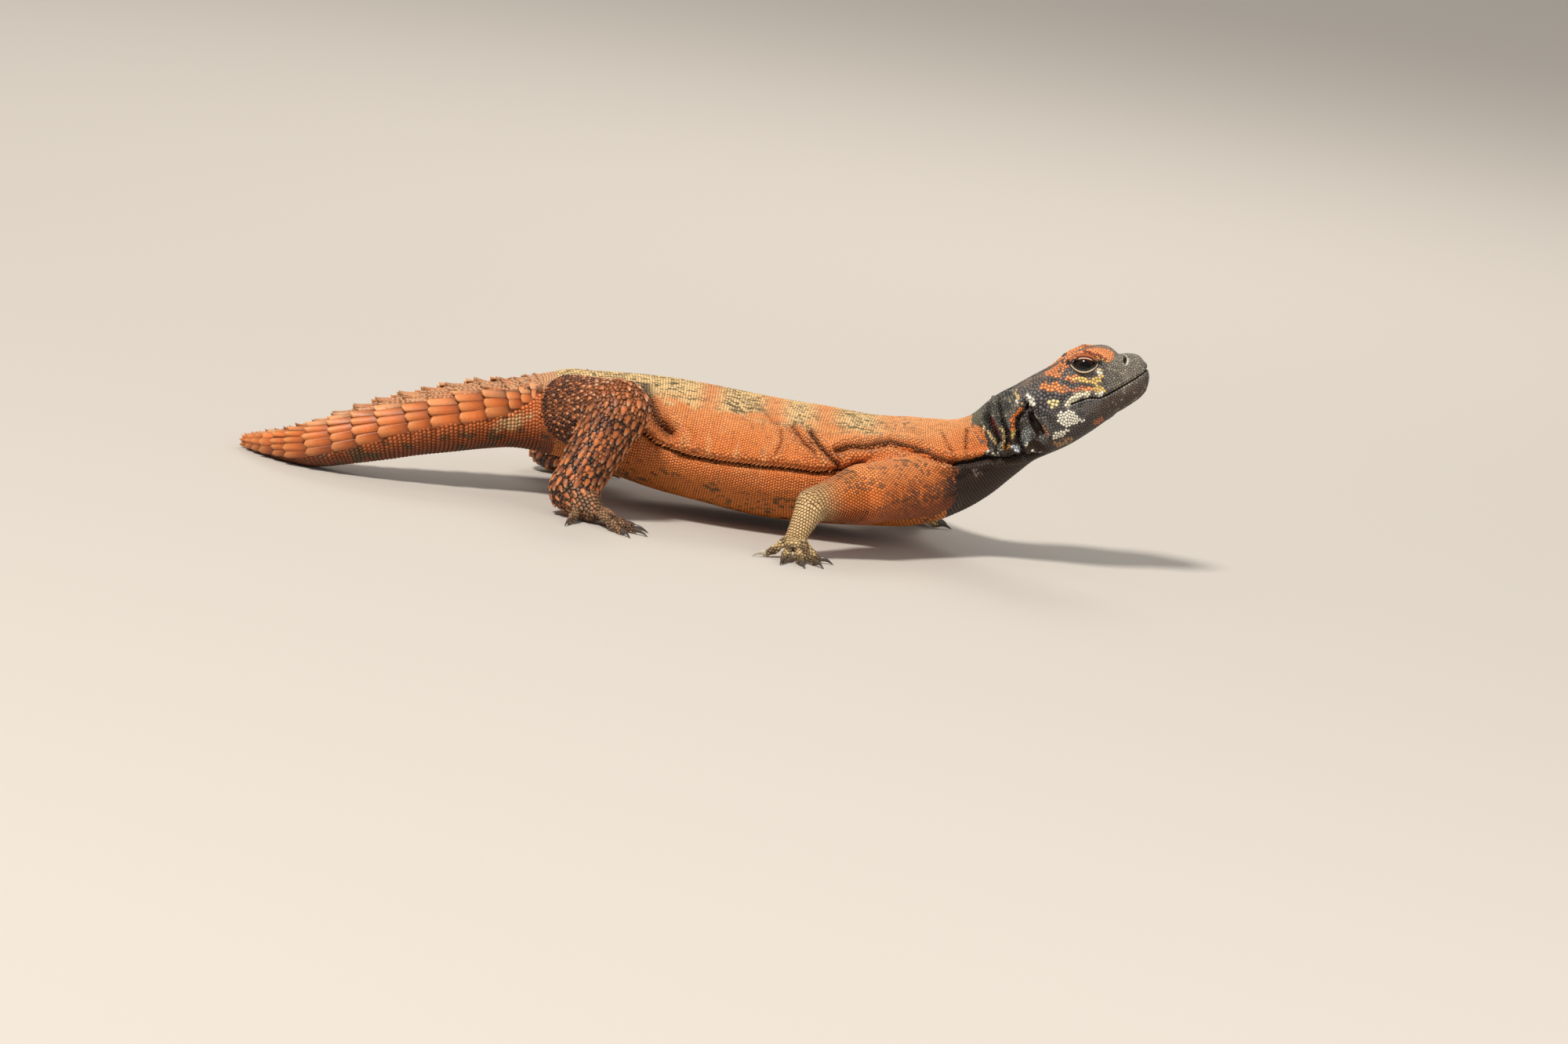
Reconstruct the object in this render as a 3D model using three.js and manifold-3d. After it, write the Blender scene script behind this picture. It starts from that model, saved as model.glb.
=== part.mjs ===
import * as THREE from "three";
import { mergeVertices } from "three/addons/utils/BufferGeometryUtils.js";
import Module from "manifold-3d";

// An adult spiny-tailed lizard, orange with a black head and neck, as a life-size still model.
// It stands with its head raised. Sizes are in millimetres. +X points to the snout, +Y to the
// animal's left and +Z up, and the floor is z = 0.

const wasm = await Module();
wasm.setup();

const GAP = 0.3; // clear space between neighbouring nodes
const MOST = 1000; // larger than the animal, for cutting at a plane

// The head is raised. Its own axes start between the ears and run forward, left and up.
const HEAD_ORIGIN = new THREE.Vector3(80, -2, 50.9);
const HEAD_PITCH = THREE.MathUtils.degToRad(36);

// The head's cross-sections, from the snout to the nape: distance along its axis, height of the crown
// and depth of the jaw from that axis, half-width, and the power of the superellipse.
const HEAD_ROWS = [
  [41.9, -0.9, 3.7, 2.4, 2.2],
  [40.6, 1.9, 6.4, 5.6, 2.3],
  [38, 4.2, 8.3, 7.4, 2.4],
  [34.4, 6.7, 10, 8.8, 2.4],
  [30.4, 10.5, 11.3, 10.2, 2.4],
  [26, 12.9, 12.3, 11.6, 2.4],
  [20.5, 13.2, 13, 13.2, 2.4],
  [13.5, 12.8, 13.8, 15.4, 2.4],
  [6, 12.8, 14.3, 17.2, 2.3],
  [-1, 12.7, 13.9, 17, 2.2],
  [-8, 12.8, 13.6, 15.4, 2.1],
];

// The rest of the body, from the neck to the tail's tip. Each row is one cross-section: x, y and z of
// its centre, its half-width, its reach above and below the centre, and its power.
const NECK_ROWS = [
  [67, -1.6, 38.8, 15.2, 13, 13.2, 2.1],
  [59.8, -0.9, 33.2, 17, 14.6, 15, 2.1],
  [51.5, 0, 28.9, 21.2, 17, 17, 2.2],
];
const TRUNK_ROWS = [
  [41, 1, 25.6, 25.6, 18.7, 18.7, 2.3],
  [26, 2.5, 23.8, 29.6, 18.8, 19, 2.3],
  [8, 4, 23.1, 33.2, 19.8, 19.9, 2.3],
  [-10, 5, 23.1, 35.2, 20, 20, 2.3],
  [-28, 5.3, 24.6, 35.4, 19.6, 19.6, 2.3],
  [-45, 5, 26.1, 32.8, 19, 19.1, 2.3],
  [-60, 4.2, 27.4, 28, 17.5, 17.6, 2.3],
  [-73, 3, 28.2, 22.8, 16, 16.1, 2.2],
  [-86, 1.5, 28, 18, 14, 14, 2.2],
];
const TAIL_ROWS = [
  [-98, -1, 27, 15.6, 11.6, 12.2, 2.2],
  [-110, -5, 25.4, 15.4, 11.3, 12.2, 2.2],
  [-121, -9, 23, 14.8, 10.9, 12, 2.2],
  [-132, -12, 20.2, 13.6, 10.3, 11.6, 2.2],
  [-142, -14, 17, 12.2, 9.6, 11.2, 2.2],
  [-153, -14.3, 13, 10.8, 8.6, 10.2, 2.2],
  [-163, -12.3, 9, 9.4, 7, 8.9, 2.2],
  [-173, -5.2, 5.8, 7.6, 5.2, 6.6, 2.1],
  [-181, 3, 3.8, 5.4, 3.6, 4.6, 2],
  [-187, 9.6, 2.6, 2.6, 1.8, 3.2, 2],
];

// Where the axis is parted into nodes, by x of the centre line.
const HEAD_REAR_X = 74.5;
const NECK_REAR_X = 56;
const TRUNK_REAR_X = -87.5;
const LEG_ROOM_REAR_X = -121; // the legs are cut clear of the body as far back as this

// Rings of scales round the tail, counted from its root. They lengthen quickly and then shorten.
const WHORLS = 16;
const WHORL_START_X = -96.5;
const WHORLS_IN_BASE = 6;
const WHORLS_IN_MIDDLE = 5;
const WHORL_PITCH = { first: 2.4, growth: 1.9, longest: 9, longestAt: 4, loss: 0.33 };
const WHORL_STEP = 1.1; // how far each ring's front lies below its rear edge
const WHORL_SLIVER = 0.012; // half the length of that step along the axis, in rows
const TAIL_WIDE = 15; // half-width where the rings stand out in full

// The spines of a ring. The underside stays smooth.
const SPINES_AT_ROOT = 10;
const SPINES_AT_TIP = 7;
const SPINE_SPAN_DEGREES = [-26, 206];
const SPINE_START = 0.18; // share of the ring's length in front of a spine
const SPINE_LENGTH = 0.8; // share of the ring's length
const SPINE_CROWDING = 1.62; // widths of a spine in its share of the girth
const SPINE_ROOT = 1.8; // how deep a spine is sunk in the body
const SPINE_RISE = { least: 0.9, lateral: 1.1 };
const SPINE_KEEL = { least: 0.35, lateral: 0.45 };
const SPINE_SEED = 9;
const SPINE_LONG_PITCH = 8; // length of ring from which the spines have their full size

// Faces round each kind of piece, and cross-sections along it.
const SIDES = { head: 24, neck: 24, trunk: 26, tail: 16, limb: 12, digit: 6, claw: 4 };
const SECTIONS = { head: 15, neck: 15, trunk: 20, room: 14 };

const FOLD_ANGLE = 0.06; // radians above the body's side
const FOLD_WIDTH = 0.08;
const FLANK_FOLD_DEPTH = 1.8;
const FLANK_FOLD_FRONT_X = 24;
const FLANK_FOLD_REAR_X = -54;
const FOLD_FADE = 12; // length over which the fold runs out at each end
const NECK_FOLDS = 4;
const NECK_FOLD_DEPTH = 1.2;

// The mouth's line from its corner to the snout, along and up in the head's own axes.
const MOUTH_LINE = [[14.5, -2.6], [19.5, -3.7], [25, -5], [31, -5], [37, -4.6], [44, -3.6]];
const MOUTH_GAP = 0.7;
const MOUTH_DEPTH = 1;
const LIP_HEIGHT = 3.6;
const LIP_RISE = 0.35;
const HEAD_WIDTH = 60; // wider than the head, for cutting through it

// The eye and what lies round it, by place in the head's axes and half-sizes along, across and up.
const EYE = { along: 23.6, left: 7.6, rise: 8, size: [4.3, 4.3, 4.3], faces: [12, 8] };
const BROW = { along: 23, left: 8.4, rise: 10.6, size: [8.2, 3.1, 2.4], faces: [10, 6] };
const LIDS = { along: 23.6, left: 8.8, rise: 8, size: [5.6, 3.5, 4.1], faces: [10, 7] };
const LID_OPENING = { along: 23.6, left: 13, rise: 8, size: [3.6, 6, 1.9], faces: [12, 6] };
const NOSTRIL = { along: 36.8, left: 7.4, rise: 2, size: [0.9, 1.9, 1.1], faces: [7, 4] };
const EAR = { along: -2.4, left: 16.6, rise: -1.2, size: [1.4, 3, 5], faces: [8, 6] };

const LIMB_SWELL = 0.05; // how much a limb is thicker between its joints
const LIMB_DOME_DEGREES = [72, 36];

const DIGIT_RADIUS = 2.1;
const DIGIT_TAPER = [1.1, 1, 0.95, 0.8];
const DIGIT_FLATTENING = 0.85; // height of a digit for its width
const FLAT_DEPTH = 0.9; // how far a digit's underside is pressed flat on the floor
const CLAW_RADII = [1.15, 0.9, 0.25];
const CLAW_ROOT = 1.2; // how far a claw reaches back into its digit
const CLAW_TIP_Z = 0.3;

// The limbs. root, bend and end are joints with a radius each. heading and fan give the digits'
// directions in degrees, and outerSetback how far back the outer digit grows.
const LEGS = {
  right_fore: {
    root: [49, -13, 24.5, 11],
    bend: [25, -42, 21.8, 10.2],
    end: [8.5, -58, 18.4, 6.6],
    knuckles: [3.8, -63, 6.4],
    palm: 4.3,
    heading: -97,
    fan: [70, 22, 0, -20, -66],
    outerSetback: 0.1,
    digits: [7, 10, 12, 11.5, 8.5],
    claws: 3.6,
    names: ["right_upper_arm", "right_forearm", "right_hand"],
  },
  left_fore: {
    root: [49, 14, 25.5, 11],
    bend: [36, 43, 21, 9.6],
    end: [41, 37, 8.8, 6.6],
    knuckles: [44, 44, 5],
    palm: 4.3,
    heading: 70,
    fan: [-60, -26, 0, 24, 62],
    outerSetback: 0.1,
    digits: [7, 10, 12, 11.5, 8.5],
    claws: 3.6,
    names: ["left_upper_arm", "left_forearm", "left_hand"],
  },
  right_hind: {
    root: [-79, -8, 31, 12.6],
    bend: [-61.5, -38, 38, 10.4],
    end: [-73, -41, 9.6, 8],
    knuckles: [-65.4, -49, 4.3],
    palm: 4.8,
    heading: -42,
    fan: [42, 22, 6, -8, -62],
    outerSetback: 0.55,
    digits: [8, 11, 14, 15.5, 11],
    claws: 4.4,
    names: ["right_thigh", "right_shin", "right_foot"],
  },
  left_hind: {
    root: [-79, 12, 30, 12.6],
    bend: [-60, 46, 26, 10.2],
    end: [-84, 50, 9.6, 8],
    knuckles: [-76, 58, 4.3],
    palm: 4.8,
    heading: 38,
    fan: [-42, -22, -6, 8, 62],
    outerSetback: 0.55,
    digits: [8, 11, 14, 15.5, 11],
    claws: 4.4,
    names: ["left_thigh", "left_shin", "left_foot"],
  },
};

// Seeded random numbers from 0 to 1.
function randomFrom(seed) {
  let state = seed;
  return () => {
    state = (Math.imul(state, 1664525) + 1013904223) >>> 0;
    return state / 4294967296;
  };
}

// A closed geometry as a solid for cutting and joining.
function solidOf(geometry) {
  const plain = geometry.clone();
  plain.deleteAttribute("normal");
  plain.deleteAttribute("uv");
  const merged = mergeVertices(plain, 1e-4);
  return new wasm.Manifold(
    new wasm.Mesh({
      numProp: 3,
      vertProperties: merged.attributes.position.array,
      triVerts: new Uint32Array(merged.index.array),
    }),
  );
}

// The largest closed surface of a solid, which drops loose scraps.
function largest(solid) {
  const parts = solid.decompose();
  return parts.reduce((best, part) => (part.volume() > best.volume() ? part : best));
}

function joined(solids) {
  return solids.reduce((whole, solid) => whole.add(solid));
}

// A closed skin over rings of points, with a flat fan on each end.
function skinOver(rings) {
  const sides = rings[0].length;
  const points = rings.flat();
  const faces = [];
  for (let i = 0; i + 1 < rings.length; i++)
    for (let j = 0; j < sides; j++) {
      const k = (j + 1) % sides;
      const [a, b] = [i * sides + j, i * sides + k];
      const [c, d] = [a + sides, b + sides];
      faces.push(a, b, d, a, d, c);
    }
  [rings[0], rings[rings.length - 1]].forEach((ring, end) => {
    const centre = new THREE.Vector3();
    ring.forEach((p) => centre.addScaledVector(p, 1 / sides));
    const hub = points.length;
    points.push(centre);
    const first = end ? (rings.length - 1) * sides : 0;
    for (let j = 0; j < sides; j++) {
      const [a, b] = [first + j, first + ((j + 1) % sides)];
      faces.push(...(end ? [a, b, hub] : [b, a, hub]));
    }
  });
  return solidOf(facingOut(points, faces));
}

// Points and faces as a geometry whose faces all look out.
function facingOut(points, faces) {
  let volume = 0;
  for (let i = 0; i < faces.length; i += 3) {
    const [a, b, c] = [0, 1, 2].map((k) => points[faces[i + k]]);
    volume += a.dot(b.clone().cross(c));
  }
  const turned = volume < 0 ? faces.slice().reverse() : faces;
  return new THREE.BufferGeometry().setFromPoints(points).setIndex(turned);
}

// A value of a smooth curve through evenly spaced numbers.
function smooth(values, t) {
  const last = values.length - 1;
  const i = Math.min(Math.max(Math.floor(t), 0), last - 1);
  const f = t - i;
  const nearby = [i - 1, i, i + 1, i + 2].map((k) => Math.min(Math.max(k, 0), last));
  const [a, b, c, d] = nearby.map((k) => values[k]);
  const square = (2 * a - 5 * b + 4 * c - d) * f * f;
  const cube = (3 * b - a - 3 * c + d) * f * f * f;
  return 0.5 * (2 * b + (c - a) * f + square + cube);
}

// A point given in the head's own axes: along from the ear, to the left, and up from the axis.
function headPoint(along, left, rise) {
  const [c, s] = [Math.cos(HEAD_PITCH), Math.sin(HEAD_PITCH)];
  return new THREE.Vector3(along * c - rise * s, left, along * s + rise * c).add(HEAD_ORIGIN);
}

const AXIS_KEYS = ["x", "y", "z", "side", "up", "down", "power"];
const headRows = HEAD_ROWS.map(([along, crown, jaw, side, power]) => {
  const centre = headPoint(along, 0, (crown - jaw) / 2);
  const half = (crown + jaw) / 2;
  return [centre.x, centre.y, centre.z, side, half, half, power];
});
const axisRows = [...headRows, ...NECK_ROWS, ...TRUNK_ROWS, ...TAIL_ROWS];
const axisColumns = AXIS_KEYS.map((_, k) => axisRows.map((row) => row[k]));

// The cross-section at place t along the axis, in rows from the snout.
function sectionAt(t) {
  const [x, y, z, side, up, down, power] = axisColumns.map((column) => smooth(column, t));
  const step = 0.02;
  const [ahead, behind] = [t - step, t + step].map((u) => {
    const [px, py, pz] = axisColumns.slice(0, 3).map((column) => smooth(column, u));
    return new THREE.Vector3(px, py, pz);
  });
  const forward = ahead.sub(behind);
  const speed = forward.length() / (2 * step);
  forward.normalize();
  const left = new THREE.Vector3(0, 0, 1).cross(forward).normalize();
  const top = forward.clone().cross(left);
  const centre = new THREE.Vector3(x, y, z);
  return { t, centre, left, top, side, up, down, power, speed };
}

// The place along the axis whose centre has this x.
function placeAtX(x) {
  let [low, high] = [0, axisRows.length - 1];
  for (let i = 0; i < 40; i++) {
    const middle = (low + high) / 2;
    if (smooth(axisColumns[0], middle) > x) low = middle;
    else high = middle;
  }
  return (low + high) / 2;
}

// The place that lies this far behind place t, measured along the axis.
function placeBehind(t, distance) {
  const step = distance / 12;
  let place = t;
  for (let i = 0; i < 12; i++) place += step / sectionAt(place).speed;
  return place;
}

// A point of a cross-section's outline, moved out by grow.
function outlinePoint(section, angle, grow) {
  const [c, s] = [Math.cos(angle), Math.sin(angle)];
  const bend = 2 / section.power;
  const reach = s > 0 ? section.up : section.down;
  const across = (section.side + grow) * Math.sign(c) * Math.abs(c) ** bend;
  const rise = (reach + grow) * Math.sign(s) * Math.abs(s) ** bend;
  return section.centre
    .clone()
    .addScaledVector(section.left, across)
    .addScaledVector(section.top, rise);
}

function evenAngles(count) {
  return Array.from({ length: count }, (_, j) => (2 * Math.PI * j) / count);
}

// Even angles, with a close pair on each side of the flank's fold.
function foldedAngles(count) {
  const near = [FOLD_ANGLE - FOLD_WIDTH, FOLD_ANGLE, FOLD_ANGLE + FOLD_WIDTH];
  const folds = near.flatMap((angle) => [(angle + 2 * Math.PI) % (2 * Math.PI), Math.PI - angle]);
  const clear = (angle) => folds.every((fold) => Math.abs(fold - angle) > FOLD_WIDTH * 0.9);
  const even = evenAngles(count).filter(clear);
  return [...even, ...folds].sort((a, b) => a - b);
}

function evenPlaces(from, to, count) {
  return Array.from({ length: count }, (_, i) => from + ((to - from) * i) / (count - 1));
}

// The body through a list of places. relief gives how far the surface stands out at a section and
// angle, and grow moves all of it out.
function bodyLength(places, angles, relief = () => 0, grow = 0) {
  return skinOver(
    places.map((t) => {
      const section = sectionAt(t);
      return angles.map((angle) => outlinePoint(section, angle, grow + relief(section, angle)));
    }),
  );
}

function bell(value, middle, width) {
  return Math.exp(-(((value - middle) / width) ** 2));
}

function ramp(value, from, to) {
  return THREE.MathUtils.smoothstep(value, from, to);
}

// The fold of skin along each flank, which parts the back from the belly.
function flankFold(section, angle) {
  const { x } = section.centre;
  const rear = ramp(x, FLANK_FOLD_REAR_X, FLANK_FOLD_REAR_X + FOLD_FADE);
  const front = 1 - ramp(x, FLANK_FOLD_FRONT_X - FOLD_FADE, FLANK_FOLD_FRONT_X);
  const fromSide = Math.asin(Math.sin(angle));
  return -FLANK_FOLD_DEPTH * rear * front * bell(fromSide, FOLD_ANGLE, FOLD_WIDTH * 0.7);
}

// Loose rings of skin round the neck, deepest at the sides.
function neckFolds(section, angle) {
  const { x } = section.centre;
  const share = (HEAD_REAR_X - x) / (HEAD_REAR_X - NECK_REAR_X);
  const ends = ramp(share, 0, 0.15) * (1 - ramp(share, 0.85, 1));
  const weight = 0.35 + 0.65 * Math.abs(Math.cos(angle));
  const wave = 0.5 - 0.5 * Math.cos(2 * Math.PI * NECK_FOLDS * share);
  return -NECK_FOLD_DEPTH * ends * weight * wave;
}

// A limb piece: rings from one joint to the next, with round ends, moved out by grow.
function limbPiece(from, to, grow = 0) {
  const [start, finish] = [from, to].map(([x, y, z]) => new THREE.Vector3(x, y, z));
  const [startRadius, finishRadius] = [from[3] + grow, to[3] + grow];
  const direction = finish.clone().sub(start);
  const length = direction.length();
  direction.normalize();
  const side = new THREE.Vector3(0, 0, 1).cross(direction);
  if (side.length() < 0.3) side.set(1, 0, 0).cross(direction);
  side.normalize();
  const other = direction.clone().cross(side);
  const rings = [];
  const addRing = (distance, radius) =>
    rings.push(
      evenAngles(SIDES.limb).map((angle) =>
        start
          .clone()
          .addScaledVector(direction, distance)
          .addScaledVector(side, radius * Math.cos(angle))
          .addScaledVector(other, radius * Math.sin(angle)),
      ),
    );
  const dome = LIMB_DOME_DEGREES.map(THREE.MathUtils.degToRad);
  for (const a of dome) addRing(-startRadius * Math.sin(a), startRadius * Math.cos(a));
  for (const f of [0, 0.5, 1]) {
    const swell = 1 + LIMB_SWELL * Math.sin(Math.PI * f);
    addRing(length * f, THREE.MathUtils.lerp(startRadius, finishRadius, f) * swell);
  }
  for (const a of dome.reverse())
    addRing(length + finishRadius * Math.sin(a), finishRadius * Math.cos(a));
  return skinOver(rings);
}

// A tapered tube through points with a radius at each, such as a digit with its claw.
function taperedTube(points, radii, sides) {
  const curve = new THREE.CatmullRomCurve3(points);
  const rings = points.map((_, i) => {
    const u = i / (points.length - 1);
    const at = curve.getPoint(u);
    const direction = curve.getTangent(u);
    const side = new THREE.Vector3(0, 0, 1).cross(direction).normalize();
    const other = direction.clone().cross(side);
    return evenAngles(sides).map((angle) =>
      at
        .clone()
        .addScaledVector(side, radii[i] * Math.cos(angle))
        .addScaledVector(other, radii[i] * DIGIT_FLATTENING * Math.sin(angle)),
    );
  });
  return skinOver(rings);
}

// The palm or sole of a foot with five clawed digits spread over the floor. The outer digit of a
// hind foot grows from further back.
function foot(leg) {
  const [ankle, knuckles] = [leg.end, leg.knuckles].map(vectorOf);
  const solids = [limbPiece([...ankle, leg.end[3] * 0.9], [...knuckles, leg.palm])];
  leg.digits.forEach((length, i) => {
    const heading = THREE.MathUtils.degToRad(leg.heading + leg.fan[i]);
    const direction = new THREE.Vector3(Math.cos(heading), Math.sin(heading), 0);
    const root = knuckles.clone().lerp(ankle, i === 4 ? leg.outerSetback : 0);
    const at = (distance, z) => root.clone().addScaledVector(direction, distance).setZ(z);
    const reach = leg.palm * 0.4;
    const toe = DIGIT_RADIUS * 0.8;
    const points = [
      root,
      at(reach + length * 0.3, knuckles.z * 0.9),
      at(reach + length * 0.65, toe + (knuckles.z - toe) * 0.3),
      at(reach + length, toe - FLAT_DEPTH),
    ];
    const thickness = DIGIT_TAPER.map((share) => share * DIGIT_RADIUS);
    const claw = [
      at(reach + length - CLAW_ROOT, toe + 0.2),
      at(reach + length + leg.claws * 0.5, toe + 0.3),
      at(reach + length + leg.claws, CLAW_TIP_Z),
    ];
    solids.push(taperedTube(points, thickness, SIDES.digit));
    solids.push(taperedTube(claw, CLAW_RADII, SIDES.claw));
  });
  return joined(solids);
}

function vectorOf([x, y, z]) {
  return new THREE.Vector3(x, y, z);
}

// The direction that a limb takes through its middle joint, halfway between its two lengths.
function bisector(before, joint, after) {
  const arriving = joint.clone().sub(before).normalize();
  const leaving = after.clone().sub(joint).normalize();
  return arriving.add(leaving).normalize();
}

// All space past a plane that stands back from a point by the given distance.
function halfSpace(point, normal, distance) {
  const block = new THREE.BoxGeometry(MOST, MOST, MOST).translate(0, 0, MOST / 2 - distance);
  const turn = new THREE.Quaternion().setFromUnitVectors(new THREE.Vector3(0, 0, 1), normal);
  return solidOf(block.applyQuaternion(turn).translate(point.x, point.y, point.z));
}

// Everything below the floor.
const BELOW_FLOOR = solidOf(new THREE.BoxGeometry(MOST, MOST, MOST).translate(0, 0, -MOST / 2));

// A ball stretched along the head's own axes, on the given side of it and moved out by grow.
function headBall({ along, left, rise, size, faces }, side, grow = 0) {
  const centre = headPoint(along, side * left, rise);
  const ball = new THREE.SphereGeometry(1, ...faces).scale(...size.map((half) => half + grow));
  return solidOf(ball.rotateY(-HEAD_PITCH).translate(centre.x, centre.y, centre.z));
}

// A band of the given height along the mouth's line, through the whole width of the head. It starts
// narrow at the mouth's corner.
function mouthBand(height) {
  const edge = (way) =>
    MOUTH_LINE.map(([along, rise], i) => {
      const half = (height / 2) * Math.min(1, 0.3 + 0.7 * i);
      return new THREE.Vector2(along, rise + way * half);
    });
  const outline = new THREE.Shape([...edge(-1), ...edge(1).reverse()]);
  const band = new THREE.ExtrudeGeometry(outline, { depth: HEAD_WIDTH, bevelEnabled: false });
  band.translate(0, 0, -HEAD_WIDTH / 2).rotateX(Math.PI / 2).rotateY(-HEAD_PITCH);
  return solidOf(band.translate(HEAD_ORIGIN.x, HEAD_ORIGIN.y, HEAD_ORIGIN.z));
}

// The head with brows, lids, lips and mouth line, and with sockets, nostrils and ear slits cut in.
function headSolid(from, to) {
  const places = evenPlaces(from, to, SECTIONS.head);
  const angles = evenAngles(SIDES.head);
  const skull = (grow) => bodyLength(places, angles, undefined, grow);
  let head = skull(0).add(mouthBand(LIP_HEIGHT).intersect(skull(LIP_RISE)));
  head = head.subtract(mouthBand(MOUTH_GAP).subtract(skull(-MOUTH_DEPTH)));
  for (const side of [-1, 1]) {
    for (const form of [BROW, LIDS]) head = head.add(headBall(form, side));
  }
  for (const side of [-1, 1]) {
    head = head.subtract(headBall(EYE, side, GAP));
    for (const form of [LID_OPENING, NOSTRIL, EAR]) head = head.subtract(headBall(form, side));
  }
  return head;
}

// A spine that lies back along the surface: a kite with its front and root sunk in, a keel along its
// middle and its tip standing clear.
function spine({ root, back, across, out }, { length, width, rise, keel }) {
  const at = (behind, aside, above) =>
    root
      .clone()
      .addScaledVector(back, behind * length)
      .addScaledVector(across, (aside * width) / 2)
      .addScaledVector(out, above);
  const front = at(0, 0, -0.5);
  const [right, left] = [at(0.5, -1, -0.15), at(0.5, 1, -0.15)];
  const ring = [right, at(0.45, 0, keel), left, at(0.4, 0, -SPINE_ROOT)];
  const tip = at(1, 0, rise);
  const points = [front, ...ring, tip];
  const faces = ring.flatMap((_, k) => {
    const [a, b] = [1 + k, 1 + ((k + 1) % ring.length)];
    return [0, b, a, points.length - 1, a, b];
  });
  return solidOf(facingOut(points, faces));
}

// The local frame of the body's surface at a place and angle.
function surfaceAt(t, angle, relief) {
  const point = (place, turn) => {
    const section = sectionAt(place);
    return outlinePoint(section, turn, relief(section, turn));
  };
  const root = point(t, angle);
  const back = point(t + 0.03, angle).sub(point(t - 0.03, angle)).normalize();
  const across = point(t, angle + 0.03).sub(point(t, angle - 0.03)).normalize();
  const out = back.clone().cross(across).normalize();
  if (out.dot(root.clone().sub(sectionAt(t).centre)) < 0) out.negate();
  return { root, back, across, out };
}

// How far the tail's surface lies below the rear edge of its ring of scales.
function whorlRelief(starts) {
  return (section, angle) => {
    const i = starts.findIndex((start, k) => section.t >= start && section.t < starts[k + 1]);
    if (i < 0) return 0;
    const share = (section.t - starts[i]) / (starts[i + 1] - starts[i]);
    const upper = ramp(Math.sin(angle), -0.8, -0.35);
    const size = Math.min(1, sectionAt(starts[i]).side / TAIL_WIDE);
    return -WHORL_STEP * size * upper * (1 - share);
  };
}

// The rings of places through a stretch of the tail: each whorl's front and rear edge.
function whorlPlaces(starts, first, last, from, to) {
  const edges = (t) => [t - WHORL_SLIVER, t + WHORL_SLIVER];
  const inner = starts.slice(first, last + 1).flatMap(edges);
  return [from, ...inner.filter((t) => t > from + WHORL_SLIVER && t < to - WHORL_SLIVER), to];
}

// The spines of one ring, largest at the sides of the tail.
function whorlSpines(starts, index, relief, random) {
  const [from, to] = [starts[index], starts[index + 1]];
  const section = sectionAt(from);
  const pitch = (to - from) * section.speed;
  const size = Math.min(1, pitch / SPINE_LONG_PITCH);
  const girth = Math.PI * (section.side + section.up);
  const [firstDegrees, lastDegrees] = SPINE_SPAN_DEGREES;
  const share = index / (WHORLS - 1);
  const count = Math.round(THREE.MathUtils.lerp(SPINES_AT_ROOT, SPINES_AT_TIP, share));
  const spines = [];
  for (let k = 0; k < count; k++) {
    const degrees = firstDegrees + ((lastDegrees - firstDegrees) * k) / (count - 1);
    const angle = THREE.MathUtils.degToRad(degrees + 3 * (random() - 0.5));
    const lateral = Math.abs(Math.cos(angle)) ** 1.5;
    const surface = surfaceAt(from + (to - from) * SPINE_START, angle, relief);
    const width = (girth / (count * SPINE_CROWDING)) * (0.9 + 0.12 * random());
    const stand = SPINE_RISE.least + SPINE_RISE.lateral * lateral;
    const rise = stand * (0.5 + 0.5 * size) * (0.85 + 0.3 * random());
    const keel = (SPINE_KEEL.least + SPINE_KEEL.lateral * lateral) * size;
    spines.push(spine(surface, { length: pitch * SPINE_LENGTH, width, rise, keel }));
  }
  return spines;
}

// The places where the tail's rings of scales start.
function tailWhorls() {
  const { first, growth, longest, longestAt, loss } = WHORL_PITCH;
  const starts = [placeAtX(WHORL_START_X)];
  for (let i = 0; i < WHORLS; i++) {
    const pitch = Math.min(first + growth * i, longest - loss * (i - longestAt));
    starts.push(placeBehind(starts[i], pitch));
  }
  return starts;
}

// The tail in three lengths, each a stretch of rings with its spines.
function tailSolids(from) {
  const starts = tailWhorls();
  const relief = whorlRelief(starts);
  const random = randomFrom(SPINE_SEED);
  const angles = evenAngles(SIDES.tail);
  const lastRing = WHORLS_IN_BASE + WHORLS_IN_MIDDLE;
  const [baseEnd, middleStart] = gapAt(starts[WHORLS_IN_BASE]);
  const [middleEnd, tipStart] = gapAt(starts[lastRing]);
  const lengths = [
    { name: "tail_base", rings: [0, WHORLS_IN_BASE], ends: [from, baseEnd] },
    { name: "tail_middle", rings: [WHORLS_IN_BASE, lastRing], ends: [middleStart, middleEnd] },
    { name: "tail_tip", rings: [lastRing, WHORLS], ends: [tipStart, axisRows.length - 1] },
  ];
  const solids = {};
  for (const { name, rings, ends } of lengths) {
    let length = bodyLength(whorlPlaces(starts, ...rings, ...ends), angles, relief);
    for (let i = rings[0]; i < rings[1]; i++)
      length = length.add(joined(whorlSpines(starts, i, relief, random)));
    solids[name] = length;
  }
  return solids;
}

// The two sides of the gap between nodes at a place along the axis.
function gapAt(t) {
  const half = GAP / 2 / sectionAt(t).speed;
  return [t - half, t + half];
}

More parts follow.
